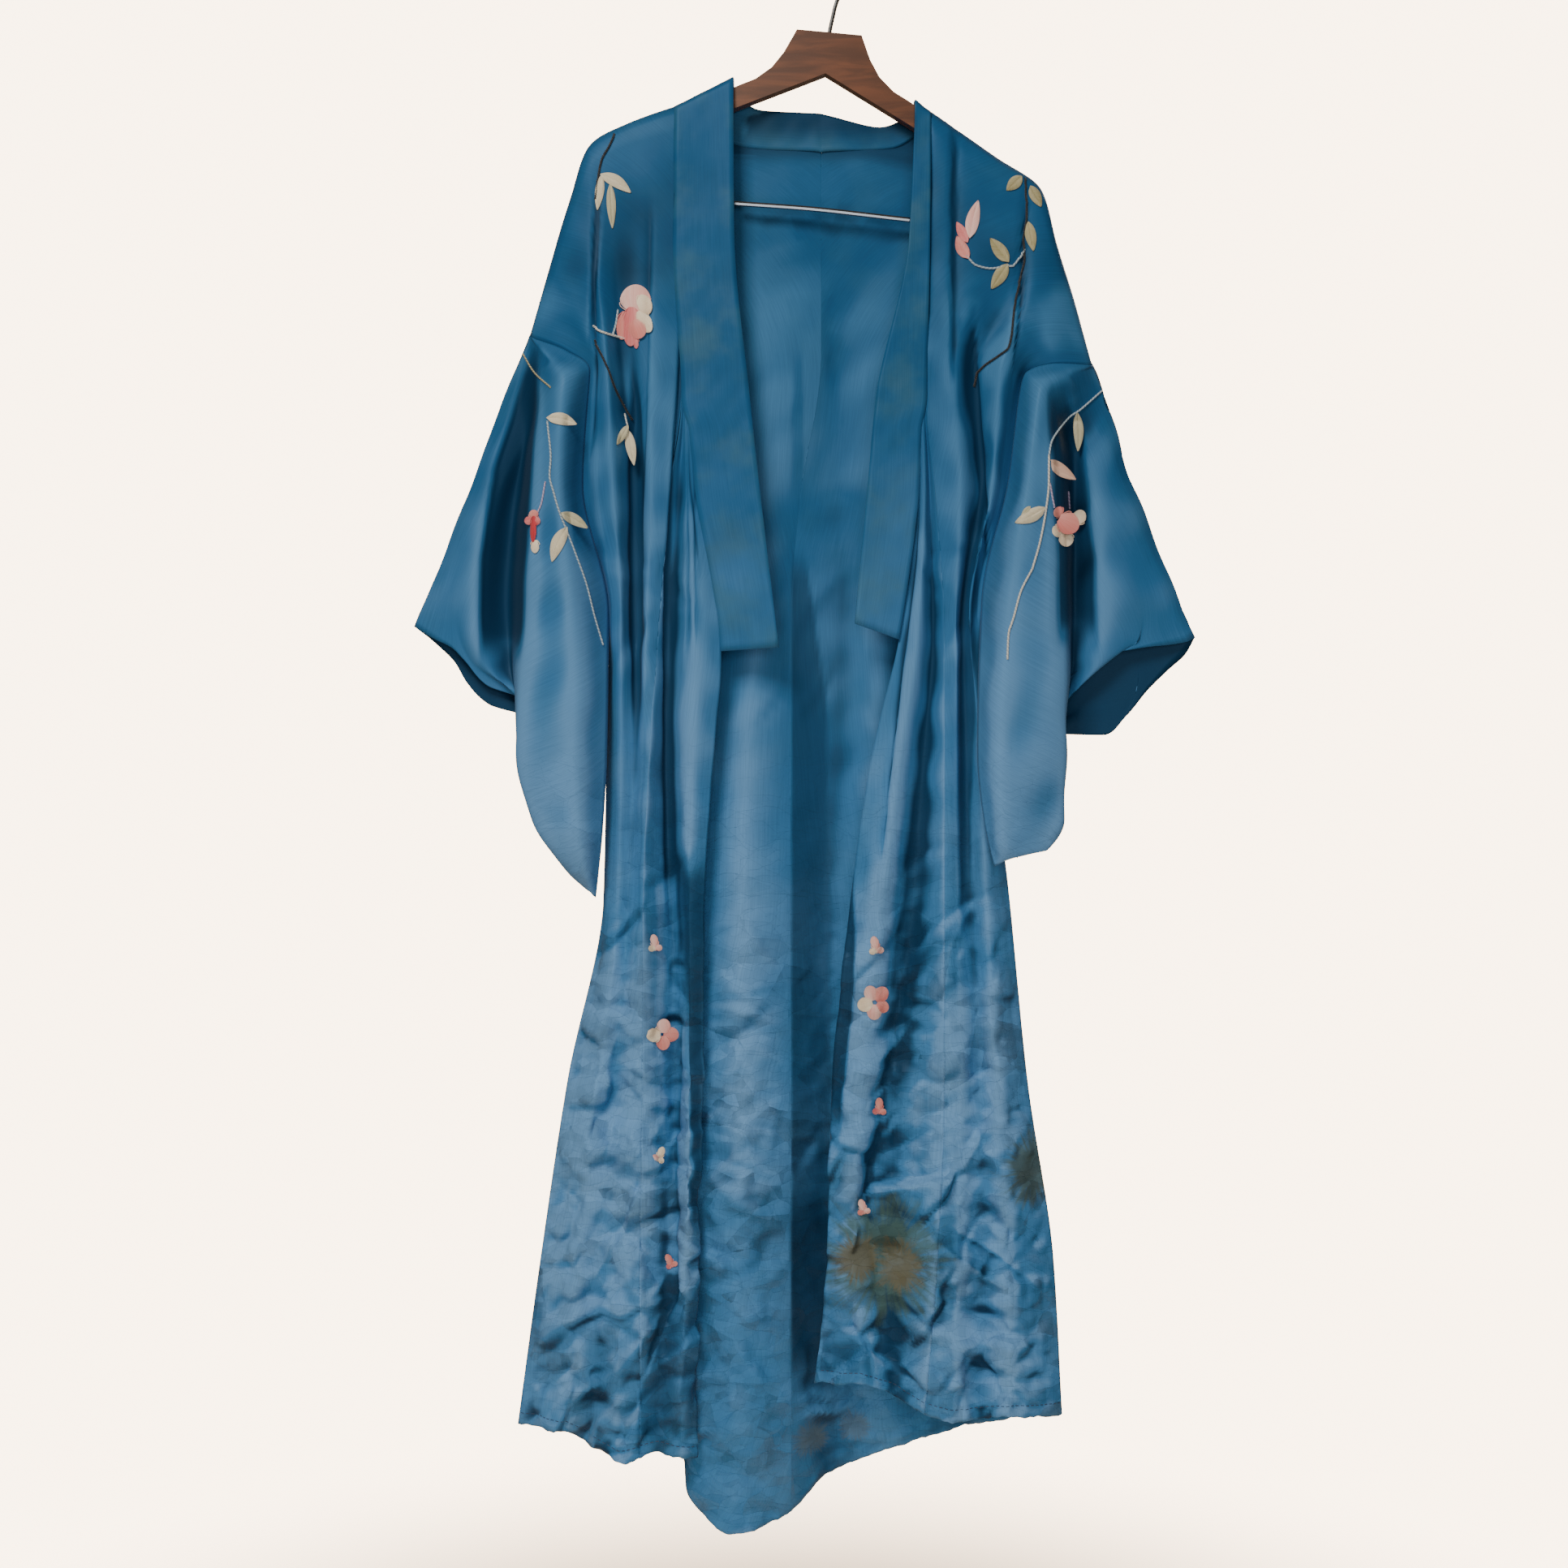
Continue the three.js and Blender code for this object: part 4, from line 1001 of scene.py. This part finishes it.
def stainShare(tree, spot, centre, radius):
    # a blot whose rim is drawn out into spikes along the threads
    flat = vectorMaths(tree, "MULTIPLY", vectorMaths(tree, "SUBTRACT", spot, centre), (1.0, 0.25, 1.0))
    edge = vectorMaths(tree, "LENGTH", flat)
    spikes = noise(tree, vectorMaths(tree, "NORMALIZE", flat), 7.0, 5.0, {"Roughness": 0.7})
    blots = noise(tree, spot, 60.0, 4.0)
    for rough, reach in ((spikes, 1.6 * radius), (blots, radius)):
        edge = maths(tree, "ADD", edge, maths(tree, "MULTIPLY_ADD", rough.outputs["Fac"], reach, -reach / 2))
    return ramp(tree, edge, 1.15 * radius, 0.55 * radius)


crushed = {
    # cell size and slant of the fine facets that crushing leaves in the silk
    "cells": ((34 * mm, 0.85), (17 * mm, 0.70), (8 * mm, 0.40)),
    "warp": 9 * mm,
    "warpScale": 30.0,
    "heights": (-0.70, -1.12),  # from where, and to where they reach full strength
}


def crushedFacets(tree, spot, across):
    # flat facets, each at its own slant, that meet in crisp lines; also a painted shade for each facet from how far
    # it turns up to the light
    wander = noise(tree, spot, crushed["warpScale"], 2.0).outputs["Color"]
    bent = vectorMaths(tree, "MULTIPLY_ADD", wander, [crushed["warp"]] * 3, spot)
    turned = mapped(tree, bent, {"Rotation": (0, 0.7, 0), "Scale": (0.55, 0.6, 1.0)})
    low = ramp(tree, across.outputs["Z"], *crushed["heights"])
    total, facetShade = 0.0, 0.0
    for size, lean in crushed["cells"]:
        cells = addNode(tree, "ShaderNodeTexVoronoi", {"Scale": 1 / size, "Vector": turned})
        away = vectorMaths(tree, "SUBTRACT", turned, cells.outputs["Position"])
        slant = vectorMaths(tree, "SUBTRACT", cells.outputs["Color"], (0.5, 0.5, 0.5))
        total = maths(tree, "MULTIPLY_ADD", vectorMaths(tree, "DOT_PRODUCT", away, slant), lean, total)
        lift = addNode(tree, "ShaderNodeSeparateXYZ", {0: cells.outputs["Color"]}).outputs["Z"]
        facetShade = maths(tree, "MULTIPLY_ADD", lift, 1 / len(crushed["cells"]), facetShade)
    # weaker on the back, and the painted facet shade rests at one half where the cloth is smooth
    behind = {0: across.outputs["Y"], 1: -4 * mm, 2: 8 * mm, 3: 1.0, 4: 0.45}
    behind = addNode(tree, "ShaderNodeMapRange", behind).outputs[0]
    masked = maths(tree, "MULTIPLY", total, maths(tree, "MULTIPLY", low, behind))
    return masked, addNode(tree, "ShaderNodeMix", {"data_type": "FLOAT", 0: low, 2: 0.5, 3: facetShade}).outputs[0]


def silkMaterial(name, wear, stained=False):
    # filament silk, plain woven, with painted shade in the folds' hollows and painted highlights on their crests
    material, tree = newMaterial(name)
    place = addNode(tree, "ShaderNodeTexCoord")
    spot = place.outputs["Object"]
    across = addNode(tree, "ShaderNodeSeparateXYZ", {0: spot})
    paintedShading = addNode(tree, "ShaderNodeAttribute", {"attribute_name": "paintedShading"}).outputs["Fac"]
    high = ramp(tree, across.outputs["Z"], *silk["heights"])
    plain = mixColour(tree, high, linear(silk["plain"]), linear(silk["upper"]))
    crest = mixColour(tree, high, linear(silk["crest"]), linear(silk["upperCloudAndHighlight"]))
    clouds = noise(tree, spot, 9.0, 4.0).outputs["Fac"]
    plain = mixColour(tree, shareOf(tree, clouds, *silk["clouds"]), plain, crest)
    rubbed = noise(tree, spot, 22.0, 6.0).outputs["Fac"]
    plain = mixColour(tree, shareOf(tree, rubbed, *silk["wear"], wear), plain, linear(silk["worn"]))
    # painted highlights on the crests
    colour = mixColour(tree, shareOf(tree, paintedShading, *silk["crests"]), plain, crest)
    facets, facetShade = crushedFacets(tree, spot, across)
    # painted shade in the hollows and on facets turned from the light
    for value, key in ((paintedShading, "paintedFoldShade"), (facetShade, "facets")):
        colour = mixColour(tree, shareOf(tree, value, *silk[key]), colour, linear(silk["paintedShading"]))
    weave = mapped(tree, place.outputs["UV"], {"Scale": (1 / silk["threadPitch"], 22.0, 1.0)})
    streaks = noise(tree, weave, 1.0, 2.0).outputs["Fac"]
    # the weave's darker threads take the dark blue of the painted shade
    darker = mixColour(tree, silk["threads"], colour, linear(silk["paintedShading"]))
    colour = mixColour(tree, ramp(tree, streaks, 0.3, 0.7), darker, colour)
    for centre, radius, brown in stains if stained else ():
        isFront = centre[1] < 0
        share = maths(tree, "MULTIPLY", stainShare(tree, spot, centre, radius), 0.8 if isFront else 0.4)
        if isFront:
            share = maths(tree, "MULTIPLY", share, ramp(tree, across.outputs["Y"], 8 * mm, -2 * mm))
        colour = mixColour(tree, share, colour, mixColour(tree, brown, linear("#4C6A66"), linear("#6E6850")))
    creased = addNode(tree, "ShaderNodeBump", {"Strength": 1.0, "Distance": 1.0, "Height": facets})
    woven = {"Strength": 0.2, "Distance": 0.3 * mm, "Height": streaks, "Normal": creased.outputs[0]}
    surface(tree, {
        "Base Color": colour,
        "Roughness": silk["roughness"],
        "Specular IOR Level": silk["specular"],
        "Specular Tint": linear(silk["glint"]),
        "Sheen Weight": silk["sheen"],
        "Sheen Roughness": 0.35,
        "Sheen Tint": linear("#A8CCF0"),
        "Normal": addNode(tree, "ShaderNodeBump", woven).outputs[0],
    })
    return material


bodySilk = silkMaterial("silkHabotai", 0.12)
stainedSilk = silkMaterial("silkHabotaiStained", 0.12, stained=True)
collarSilk = silkMaterial("silkHabotaiWorn", 0.5)
finishes = {"collar": collarSilk, "body_left": stainedSilk, "okumi_left": stainedSilk}
for node, piece in pieces.items():
    piece.data.materials.append(finishes.get(node, bodySilk))

wood = {"light": "#74442A", "dark": "#54311F", "grain": 38.0}


def woodMaterial():
    # stained beech under a satin varnish
    material, tree = newMaterial("stainedBeech")
    spot = addNode(tree, "ShaderNodeTexCoord").outputs["Object"]
    long = mapped(tree, spot, {"Scale": (5.0, wood["grain"], wood["grain"])})
    grain = noise(tree, long, 3.0, 6.0, {"Distortion": 0.6}).outputs["Fac"]
    streaks = ramp(tree, grain, 0.35, 0.7)
    ridges = addNode(tree, "ShaderNodeBump", {"Strength": 0.2, "Distance": 0.3 * mm, "Height": grain})
    surface(tree, {
        "Base Color": mixColour(tree, streaks, linear(wood["dark"]), linear(wood["light"])),
        "Roughness": 0.36,
        "Coat Weight": 0.4,
        "Coat Roughness": 0.2,
        "Normal": ridges.outputs[0],
    })
    return material


def chromeMaterial():
    # bright chromium plate
    material, tree = newMaterial("chromePlate")
    surface(tree, {"Base Color": linear("#8A9096"), "Metallic": 1.0, "Roughness": 0.18})
    return material


def dress(node, material):
    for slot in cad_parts[node].material_slots:
        slot.link = "OBJECT"
        slot.material = material


dress("hanger_arms", woodMaterial())
chrome = chromeMaterial()
dress("hanger_hook", chrome)
dress("hanger_bar", chrome)

# ---- embroidery: padded satin stitch in floss, twisted cord stems ----

floss = {
    "radius": 0.45 * mm,
    "spacing": 0.62 * mm,
    "slant": 0.16,
    "sides": 4,
}
cord = {"radius": 0.62 * mm, "lay": 0.45 * mm, "pitch": 3.4 * mm, "step": 0.5 * mm, "sides": 5}

dyes = {
    "cream": ("#E9DFC4", "#CFC6A4"),
    "sage": ("#D3CDAE", "#A9A581"),
    "khaki": ("#C2B98F", "#8C8352"),
    "beige": ("#E7C6B0", "#C79A86"),
    "pink": ("#F8D6CC", "#EBA298"),
    "coral": ("#EDA59A", "#DB7670"),
    "rose": ("#F09A98", "#D5595F"),
    "red": ("#D8404A", "#A81D2A"),
    "ivory": ("#FBF0D8", "#EBD3B4"),
    "lilac": ("#C9BBD6", "#A493B8"),
    "white": ("#EDEBE0", "#C9CCC6"),
    "pale": ("#C4D3DA", "#93AAB8"),
    "straw": ("#BDB58F", "#8F8A66"),
    "black": ("#14161C", "#0A0B0F"),
}

leaves = [
    # base x, z, tip x, z, width, belly, dye; all as seen from the front
    (-218, -214, -222, -246, 8, 0, "cream"), (-219, -213, -191, -230, 11, 2, "cream"),
    (-210, -222, -208, -263, 8, 0, "sage"), (-194, -445, -204, -463, 7, 0, "sage"),
    (-194, -449, -188, -482, 9, 0, "cream"), (-269, -438, -241, -444, 11, 2, "cream"),
    (-256, -526, -231, -540, 10, 1, "sage"), (-250, -539, -264, -571, 12, -2, "cream"),
    (170, -215, 156, -228, 11, 0, "khaki"), (178, -224, 188, -243, 10, 0, "khaki"),
    (176, -257, 181, -284, 10, 0, "khaki"), (158, -294, 141, -272, 12, 0, "khaki"),
    (157, -296, 142, -319, 12, 0, "khaki"), (221, -433, 222, -469, 9, 1, "sage"),
    (195, -477, 220, -495, 11, -1, "beige"), (192, -521, 164, -535, 12, 1, "cream"),
    (178, -520, 170, -529, 5, 0, "sage"), (122, -272, 130, -237, 12, 1, "pink"),
    (120, -276, 110, -257, 9, 0, "rose"), (121, -291, 110, -270, 11, 1, "coral"),
]

petals = [
    # base x, z, length and heading of the petal, width, dye, lift
    # the large blossom of the right shoulder
    (-187, -341, 26, 88, 29, "pink", 0.4),
    (-190, -336, 36, 268, 17, "rose", 1.0),
    (-184, -336, 13, 22, 20, "ivory", 1.4),
    (-184, -340, 22, 300, 14, "ivory", 1.2),
    (-188, -348, 18, 290, 18, "coral", 1.6),
    (-196, -340, 26, 262, 13, "coral", 0.5),
    (-186, -364, 10, 270, 5, "rose", 0.2),
    # the red blossom of the right sleeve
    (-281, -531, 8, 80, 9, "coral", 0.5),
    (-281, -532, 8, 195, 8, "rose", 0.7),
    (-281, -532, 7, 335, 8, "rose", 0.7),
    (-280, -529, 24, 268, 6, "red", 1.2),
    (-279, -551, 12, 268, 8, "ivory", 0.4),
    # the blossom of the left sleeve
    (220, -536, 14, 62, 13, "ivory", 0.4),
    (207, -527, 8, 150, 11, "coral", 0.5),
    (207, -540, 10, 215, 12, "ivory", 0.5),
    (211, -544, 13, 268, 14, "ivory", 0.6),
    (204, -531, 20, 330, 21, "coral", 1.3),
    # the blossoms of the fronts
    (-162, -1006, 13, 80, 13, "pink", 0.6),
    (-161, -1007, 14, 355, 14, "coral", 0.6),
    (-162, -1009, 13, 275, 13, "coral", 0.6),
    (-164, -1008, 13, 182, 13, "ivory", 0.8),
    (33, -976, 14, 110, 13, "pink", 0.6),
    (35, -976, 15, 48, 14, "coral", 0.6),
    (36, -979, 12, 330, 12, "coral", 0.6),
    (34, -980, 14, 268, 14, "pink", 0.6),
    (32, -978, 14, 196, 14, "ivory", 0.8),
]

buds = [
    # centre x, z, height, heading, dyes of the middle and side petals
    (-169, -921, 15, 92, "pink", "ivory"),
    (-163, -1117, 14, 60, "ivory", "pink"),
    (-155, -1215, 13, 110, "coral", "rose"),
    (35, -923, 16, 96, "pink", "ivory"),
    (39, -1072, 15, 84, "coral", "rose"),
    (23, -1165, 14, 100, "pink", "coral"),
]

stems = [
    # dye, thickness, then the way it runs
    ("black", 1.3, [(-206, -176), (-211, -187), (-218, -200), (-221, -215), (-224, -236)]),
    ("black", 1.2, [(-225, -366), (-215, -386), (-206, -411), (-196, -430), (-190, -440)]),
    ("white", 1.3, [(-226, -353), (-219, -358), (-207, -362), (-195, -365)]),
    ("pale", 1.0, [(-203, -338), (-205, -350), (-208, -361)]),
    ("white", 0.8, [(-197, -434), (-194, -447)]),
    ("straw", 0.7, [(-293, -375), (-280, -396), (-265, -410)]),
    ("pale", 1.0, [(-268, -441), (-265, -474), (-266, -491), (-262, -508), (-256, -528), (-251, -541)]),
    ("pale", 0.8, [(-251, -541), (-243, -562), (-232, -593), (-225, -621), (-217, -648)]),
    ("lilac", 0.7, [(-270, -497), (-274, -518), (-278, -527)]),
    ("black", 1.3, [(173, -217), (175, -250), (172, -272), (173, -291), (168, -312), (164, -333), (161, -361)]),
    ("black", 1.4, [(161, -361), (158, -373), (149, -381), (136, -390), (129, -398), (126, -409)]),
    ("pale", 1.1, [(173, -282), (168, -290), (161, -298), (157, -297)]),
    ("pale", 1.1, [(157, -297), (142, -300), (128, -297), (119, -288)]),
    ("pale", 0.9, [(244, -413), (223, -431), (214, -437), (204, -449), (197, -461), (195, -473)]),
    ("white", 1.2, [(195, -473), (195, -497), (192, -525), (187, -552), (180, -577)]),
    ("white", 1.2, [(180, -577), (169, -599), (163, -621), (158, -639), (157, -661)]),
    ("lilac", 0.8, [(213, -506), (214, -522)]),
    ("lilac", 0.8, [(196, -498), (200, -521)]),
]

eye = Vector((view["centre"][0], -view["distance"], view["centre"][1]))
bpy.context.view_layer.update()
depsgraph = bpy.context.evaluated_depsgraph_get()
clothTrees = [BVHTree.FromObject(piece, depsgraph) for piece in pieces.values()]


def seen(x, z):
    # the cloth's nearest point on the sight line through a place given in millimetres
    way = (Vector((x * mm, 0, z * mm)) - eye).normalized()
    hits = [tree.ray_cast(eye, way) for tree in clothTrees]
    hits = [hit for hit in hits if hit[0] is not None]
    if not hits:
        return None
    point, normal, _, _ = min(hits, key=lambda hit: hit[3])
    return point, normal if normal.dot(way) < 0 else -normal


def motifPlane(x, z, radius):
    # the depth and facing of the cloth under a motif; it bridges the folds rather than sinking into them
    places = [(x, z)] + [(x + radius * math.cos(a), z + radius * math.sin(a)) for a in np.arange(0, 6.2, 0.7)]
    hits = [hit for hit in (seen(*place) for place in places) if hit]
    hits.sort(key=lambda hit: hit[0].y)
    home = hits[len(hits) // 3][0]
    facingOut = sum((hit[1] for hit in hits), Vector()).normalized()
    return home, (facingOut + Vector((0, -0.8, 0))).normalized()


def onCloth(path, middle):
    # lays (x, z, lift) places on the cloth, never far from the motif's own depth
    home, facingOut = middle
    laid = []
    for x, z, lift in path:
        hit = seen(x, z)
        way = Vector((x * mm, 0, z * mm)) - eye
        depth = hit[0].y if hit else home.y
        depth = min(max(depth, home.y - 3 * mm), home.y + 2.5 * mm)
        spot = eye + way * ((depth - eye.y) / way.y)
        laid.append(spot + facingOut * (lift * mm + floss["radius"] * 0.6))
    return laid


def mixed(dye, share):
    share = min(1, max(0, share))
    light, deep = (linear(c) for c in dyes[dye])
    return [a + (b - a) * share for a, b in zip(light, deep)]


threads = []
rng = random.Random(5)


def satinLeaf(baseX, baseZ, tipX, tipZ, width, belly, dye):
    dx, dz = tipX - baseX, tipZ - baseZ
    length = math.hypot(dx, dz)
    nx, nz = -dz / length, dx / length
    middle = motifPlane(baseX + dx * 0.5, baseZ + dz * 0.5, length / 2)
    count = int(length / (floss["spacing"] / mm))

    def rib(t):
        bow = belly * math.sin(math.pi * t)
        return baseX + dx * t + nx * bow, baseZ + dz * t + nz * bow

    for i in range(count + 1):
        t = i / count
        reach = min(1, t + floss["slant"])
        half = width / 2 * math.sin(math.pi * min(1, reach**0.85)) ** 0.8
        for way in (-1, 1):
            (x0, z0), (x1, z1) = rib(t), rib(reach)
            x1, z1 = x1 + nx * half * way, z1 + nz * half * way
            path = []
            for f in np.linspace(0, 1, 5):
                lift = 0.25 + 0.9 * math.sin(math.pi * (0.15 + 0.8 * f)) * min(1, half / 3)
                path.append((x0 + (x1 - x0) * f, z0 + (z1 - z0) * f, lift))
            share = 0.25 + 0.5 * t * (1 if way > 0 else 0.3) + rng.uniform(-0.15, 0.15)
            threads.append((onCloth(path, middle), mixed(dye, share)))


def satinPetal(baseX, baseZ, length, heading, width, dye, lift):
    angle = math.radians(heading)
    ux, uz = math.cos(angle), math.sin(angle)
    nx, nz = -uz, ux
    middle = motifPlane(baseX, baseZ, 12)
    count = int(width * 1.15 / (floss["spacing"] / mm))
    for i in range(count + 1):
        s = 2 * i / count - 1
        rim = length * (0.35 + 0.65 * math.sqrt(max(0, 1 - s * s)))
        path = []
        for f in np.linspace(0, 1, 6):
            out = rim * f
            side = width / 2 * s * (0.3 + 0.7 * math.sin(math.pi / 2 * min(1, f * 1.25)))
            puff = lift + 1.1 * math.sin(math.pi * (0.12 + 0.82 * f)) * (1 - 0.5 * s * s)
            path.append((baseX + ux * out + nx * side, baseZ + uz * out + nz * side, puff))
        share = 0.45 - 0.35 * s + rng.uniform(-0.18, 0.18)
        threads.append((onCloth(path, middle), mixed(dye, share)))


def bud(x, z, height, heading, middleDye, sideDye):
    angle = math.radians(heading)
    bx, bz = x - math.cos(angle) * height * 0.35, z - math.sin(angle) * height * 0.35
    satinPetal(bx, bz, height * 0.75, heading + 8, height * 0.5, middleDye, 0.7)
    satinPetal(bx, bz, height * 0.45, heading + 118, height * 0.42, sideDye, 0.4)
    satinPetal(bx, bz, height * 0.45, heading - 112, height * 0.42, middleDye, 0.4)


for leaf in leaves:
    satinLeaf(*leaf)
for petal in petals:
    satinPetal(*petal)
for entry in buds:
    bud(*entry)

cords = []


def smoothPath(path, step):
    # evenly spaced places along a curve through the path
    path = np.asarray(path, dtype=float)
    probe = alongCurve(path, np.linspace(0, len(path) - 1, 30 * len(path)))
    reach = np.concatenate([[0], np.cumsum(np.linalg.norm(np.diff(probe, axis=0), axis=1))])
    wanted = np.linspace(0, reach[-1], max(2, int(reach[-1] / step) + 1))
    return np.stack([np.interp(wanted, reach, probe[:, i]) for i in range(probe.shape[1])], 1)


def layCord(dye, thickness, path):
    # two strands twisted about the line of the stem
    places = smoothPath(path, 1.5)
    middle = seen(*places[len(places) // 2])
    laid = []
    for x, z in places:
        hit = seen(x, z)
        if hit:
            laid.append(hit[0] + hit[1] * cord["radius"] * thickness)
    line = smoothPath(laid, cord["step"])
    ahead = unit(np.gradient(line, axis=0))
    side = unit(np.cross(ahead, np.array(middle[1])))
    up = np.cross(side, ahead)
    turn = np.arange(len(line)) * cord["step"] / cord["pitch"] * 2 * math.pi
    for strand in (0, math.pi):
        lay = cord["lay"] * thickness
        ring = side * np.cos(turn + strand)[:, None] + up * np.sin(turn + strand)[:, None]
        cords.append((line + ring * lay, mixed(dye, 0.0 if strand else 1.0)))


for stem in stems:
    layCord(*stem)

hemStitch = {
    "above": 10.5 * mm,  # height over the hem
    "length": 3.0,
    "gap": 2.2,
    "radius": 0.32 * mm,
    "sides": 4,
    "rows": 40,  # mesh rows next to the hem that are searched for that height
    "tint": "#16365A",
}
hemStitches = []


def stitchHem(grid, outward, hem, rows):
    # running stitch along a hem, on the outside of the cloth
    laid = []
    for column in range(1, grid.shape[1] - 1):
        line, facingOut = grid[rows, column], outward[rows, column]
        above = line[:, 2] - hem(line[:, 0])
        order = np.argsort(above)
        place = [np.interp(hemStitch["above"], above[order], line[order, k]) for k in range(3)]
        normal = facingOut[np.argmin(np.abs(above - hemStitch["above"]))]
        laid.append(np.array(place) + normal * clothSettings["wall"] * 0.6)
    line = smoothPath(laid, 0.5 * mm)
    long, gap = (int(hemStitch[key] / 0.5) for key in ("length", "gap"))
    for first in range(0, len(line) - long, long + gap):
        hemStitches.append((line[first : first + long + 1 : 2], linear(hemStitch["tint"])))


for side, name in ((rightSide, "Right"), (leftSide, "Left")):
    for label, key, rows in (
        ("bodyPanel", "front", slice(0, hemStitch["rows"])),
        ("overlapStrip", "front", slice(0, hemStitch["rows"])),
        ("bodyPanel", "back", slice(-hemStitch["rows"], None)),
    ):
        stitchHem(*sewn[label + name], side["hem"][key + name], rows)


def threadTree(name, sides, material):
    # Geometry Nodes: every edge chain becomes a round thread
    tree = bpy.data.node_groups.new(name, "GeometryNodeTree")
    tree.interface.new_socket("Lines", in_out="INPUT", socket_type="NodeSocketGeometry")
    radius = tree.interface.new_socket("Thread radius", in_out="INPUT", socket_type="NodeSocketFloat")
    tree.interface.new_socket("Thread", in_out="OUTPUT", socket_type="NodeSocketGeometry")
    given = addNode(tree, "NodeGroupInput")
    size = {"Resolution": sides, "Radius": given.outputs[1]}
    ring = addNode(tree, "GeometryNodeCurvePrimitiveCircle", size)
    thread = given.outputs[0]
    for kind, settings in (
        ("GeometryNodeMeshToCurve", {}),
        ("GeometryNodeCurveToMesh", {"Profile Curve": ring.outputs[0], "Fill Caps": True}),
        ("GeometryNodeSetShadeSmooth", {}),
        ("GeometryNodeRealizeInstances", {}),
        ("GeometryNodeSetMaterial", {"Material": material}),
        ("NodeGroupOutput", {}),
    ):
        node = addNode(tree, kind, {0: thread, **settings})
        thread = node.outputs[0] if node.outputs else None
    return tree, radius.identifier


def stitched(name, lines, radius, sides, material):
    points, edges, tints = [], [], []
    for path, tint in lines:
        base = len(points)
        points += [tuple(p) for p in path]
        edges += [(base + i, base + i + 1) for i in range(len(path) - 1)]
        tints += [tint] * len(path)
    mesh = bpy.data.meshes.new(name + "Lines")
    mesh.from_pydata(points, edges, [])
    dye = mesh.attributes.new("dye", "FLOAT_COLOR", "POINT")
    dye.data.foreach_set("color", np.array(tints, dtype=np.float32).ravel())
    guide = addObject(name + "Guide", mesh)
    modifier = guide.modifiers.new("threads", "NODES")
    modifier.node_group, socket = threadTree(name + "Threads", sides, material)
    modifier[socket] = radius
    done = bpy.data.meshes.new_from_object(guide.evaluated_get(bpy.context.evaluated_depsgraph_get()))
    bpy.data.objects.remove(guide)
    triangles = sum(len(face.vertices) - 2 for face in done.polygons)
    print("stitches:", name, len(lines), "threads,", triangles, "triangles")
    return addObject(name, done)


def flossMaterial():
    # filament floss: each thread has its own dye, with a soft gleam along it
    material, tree = newMaterial("silkFloss")
    dye = addNode(tree, "ShaderNodeAttribute", {"attribute_name": "dye"}).outputs["Color"]
    surface(tree, {"Base Color": dye, "Roughness": 0.42, "Sheen Weight": 0.3})
    return material


flossDyed = flossMaterial()
trims = [
    stitched("satinStitches", threads, floss["radius"], floss["sides"], flossDyed),
    stitched("stemCords", cords, cord["radius"], cord["sides"], flossDyed),
    stitched("hemStitches", hemStitches, hemStitch["radius"], hemStitch["sides"], flossDyed),
]

# ---- what each piece rides on; the solids it replaces are hidden ----

for node, piece in pieces.items():
    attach(piece, "root")
    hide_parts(node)

for piece in trims:
    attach(piece, "root")

print("finished")
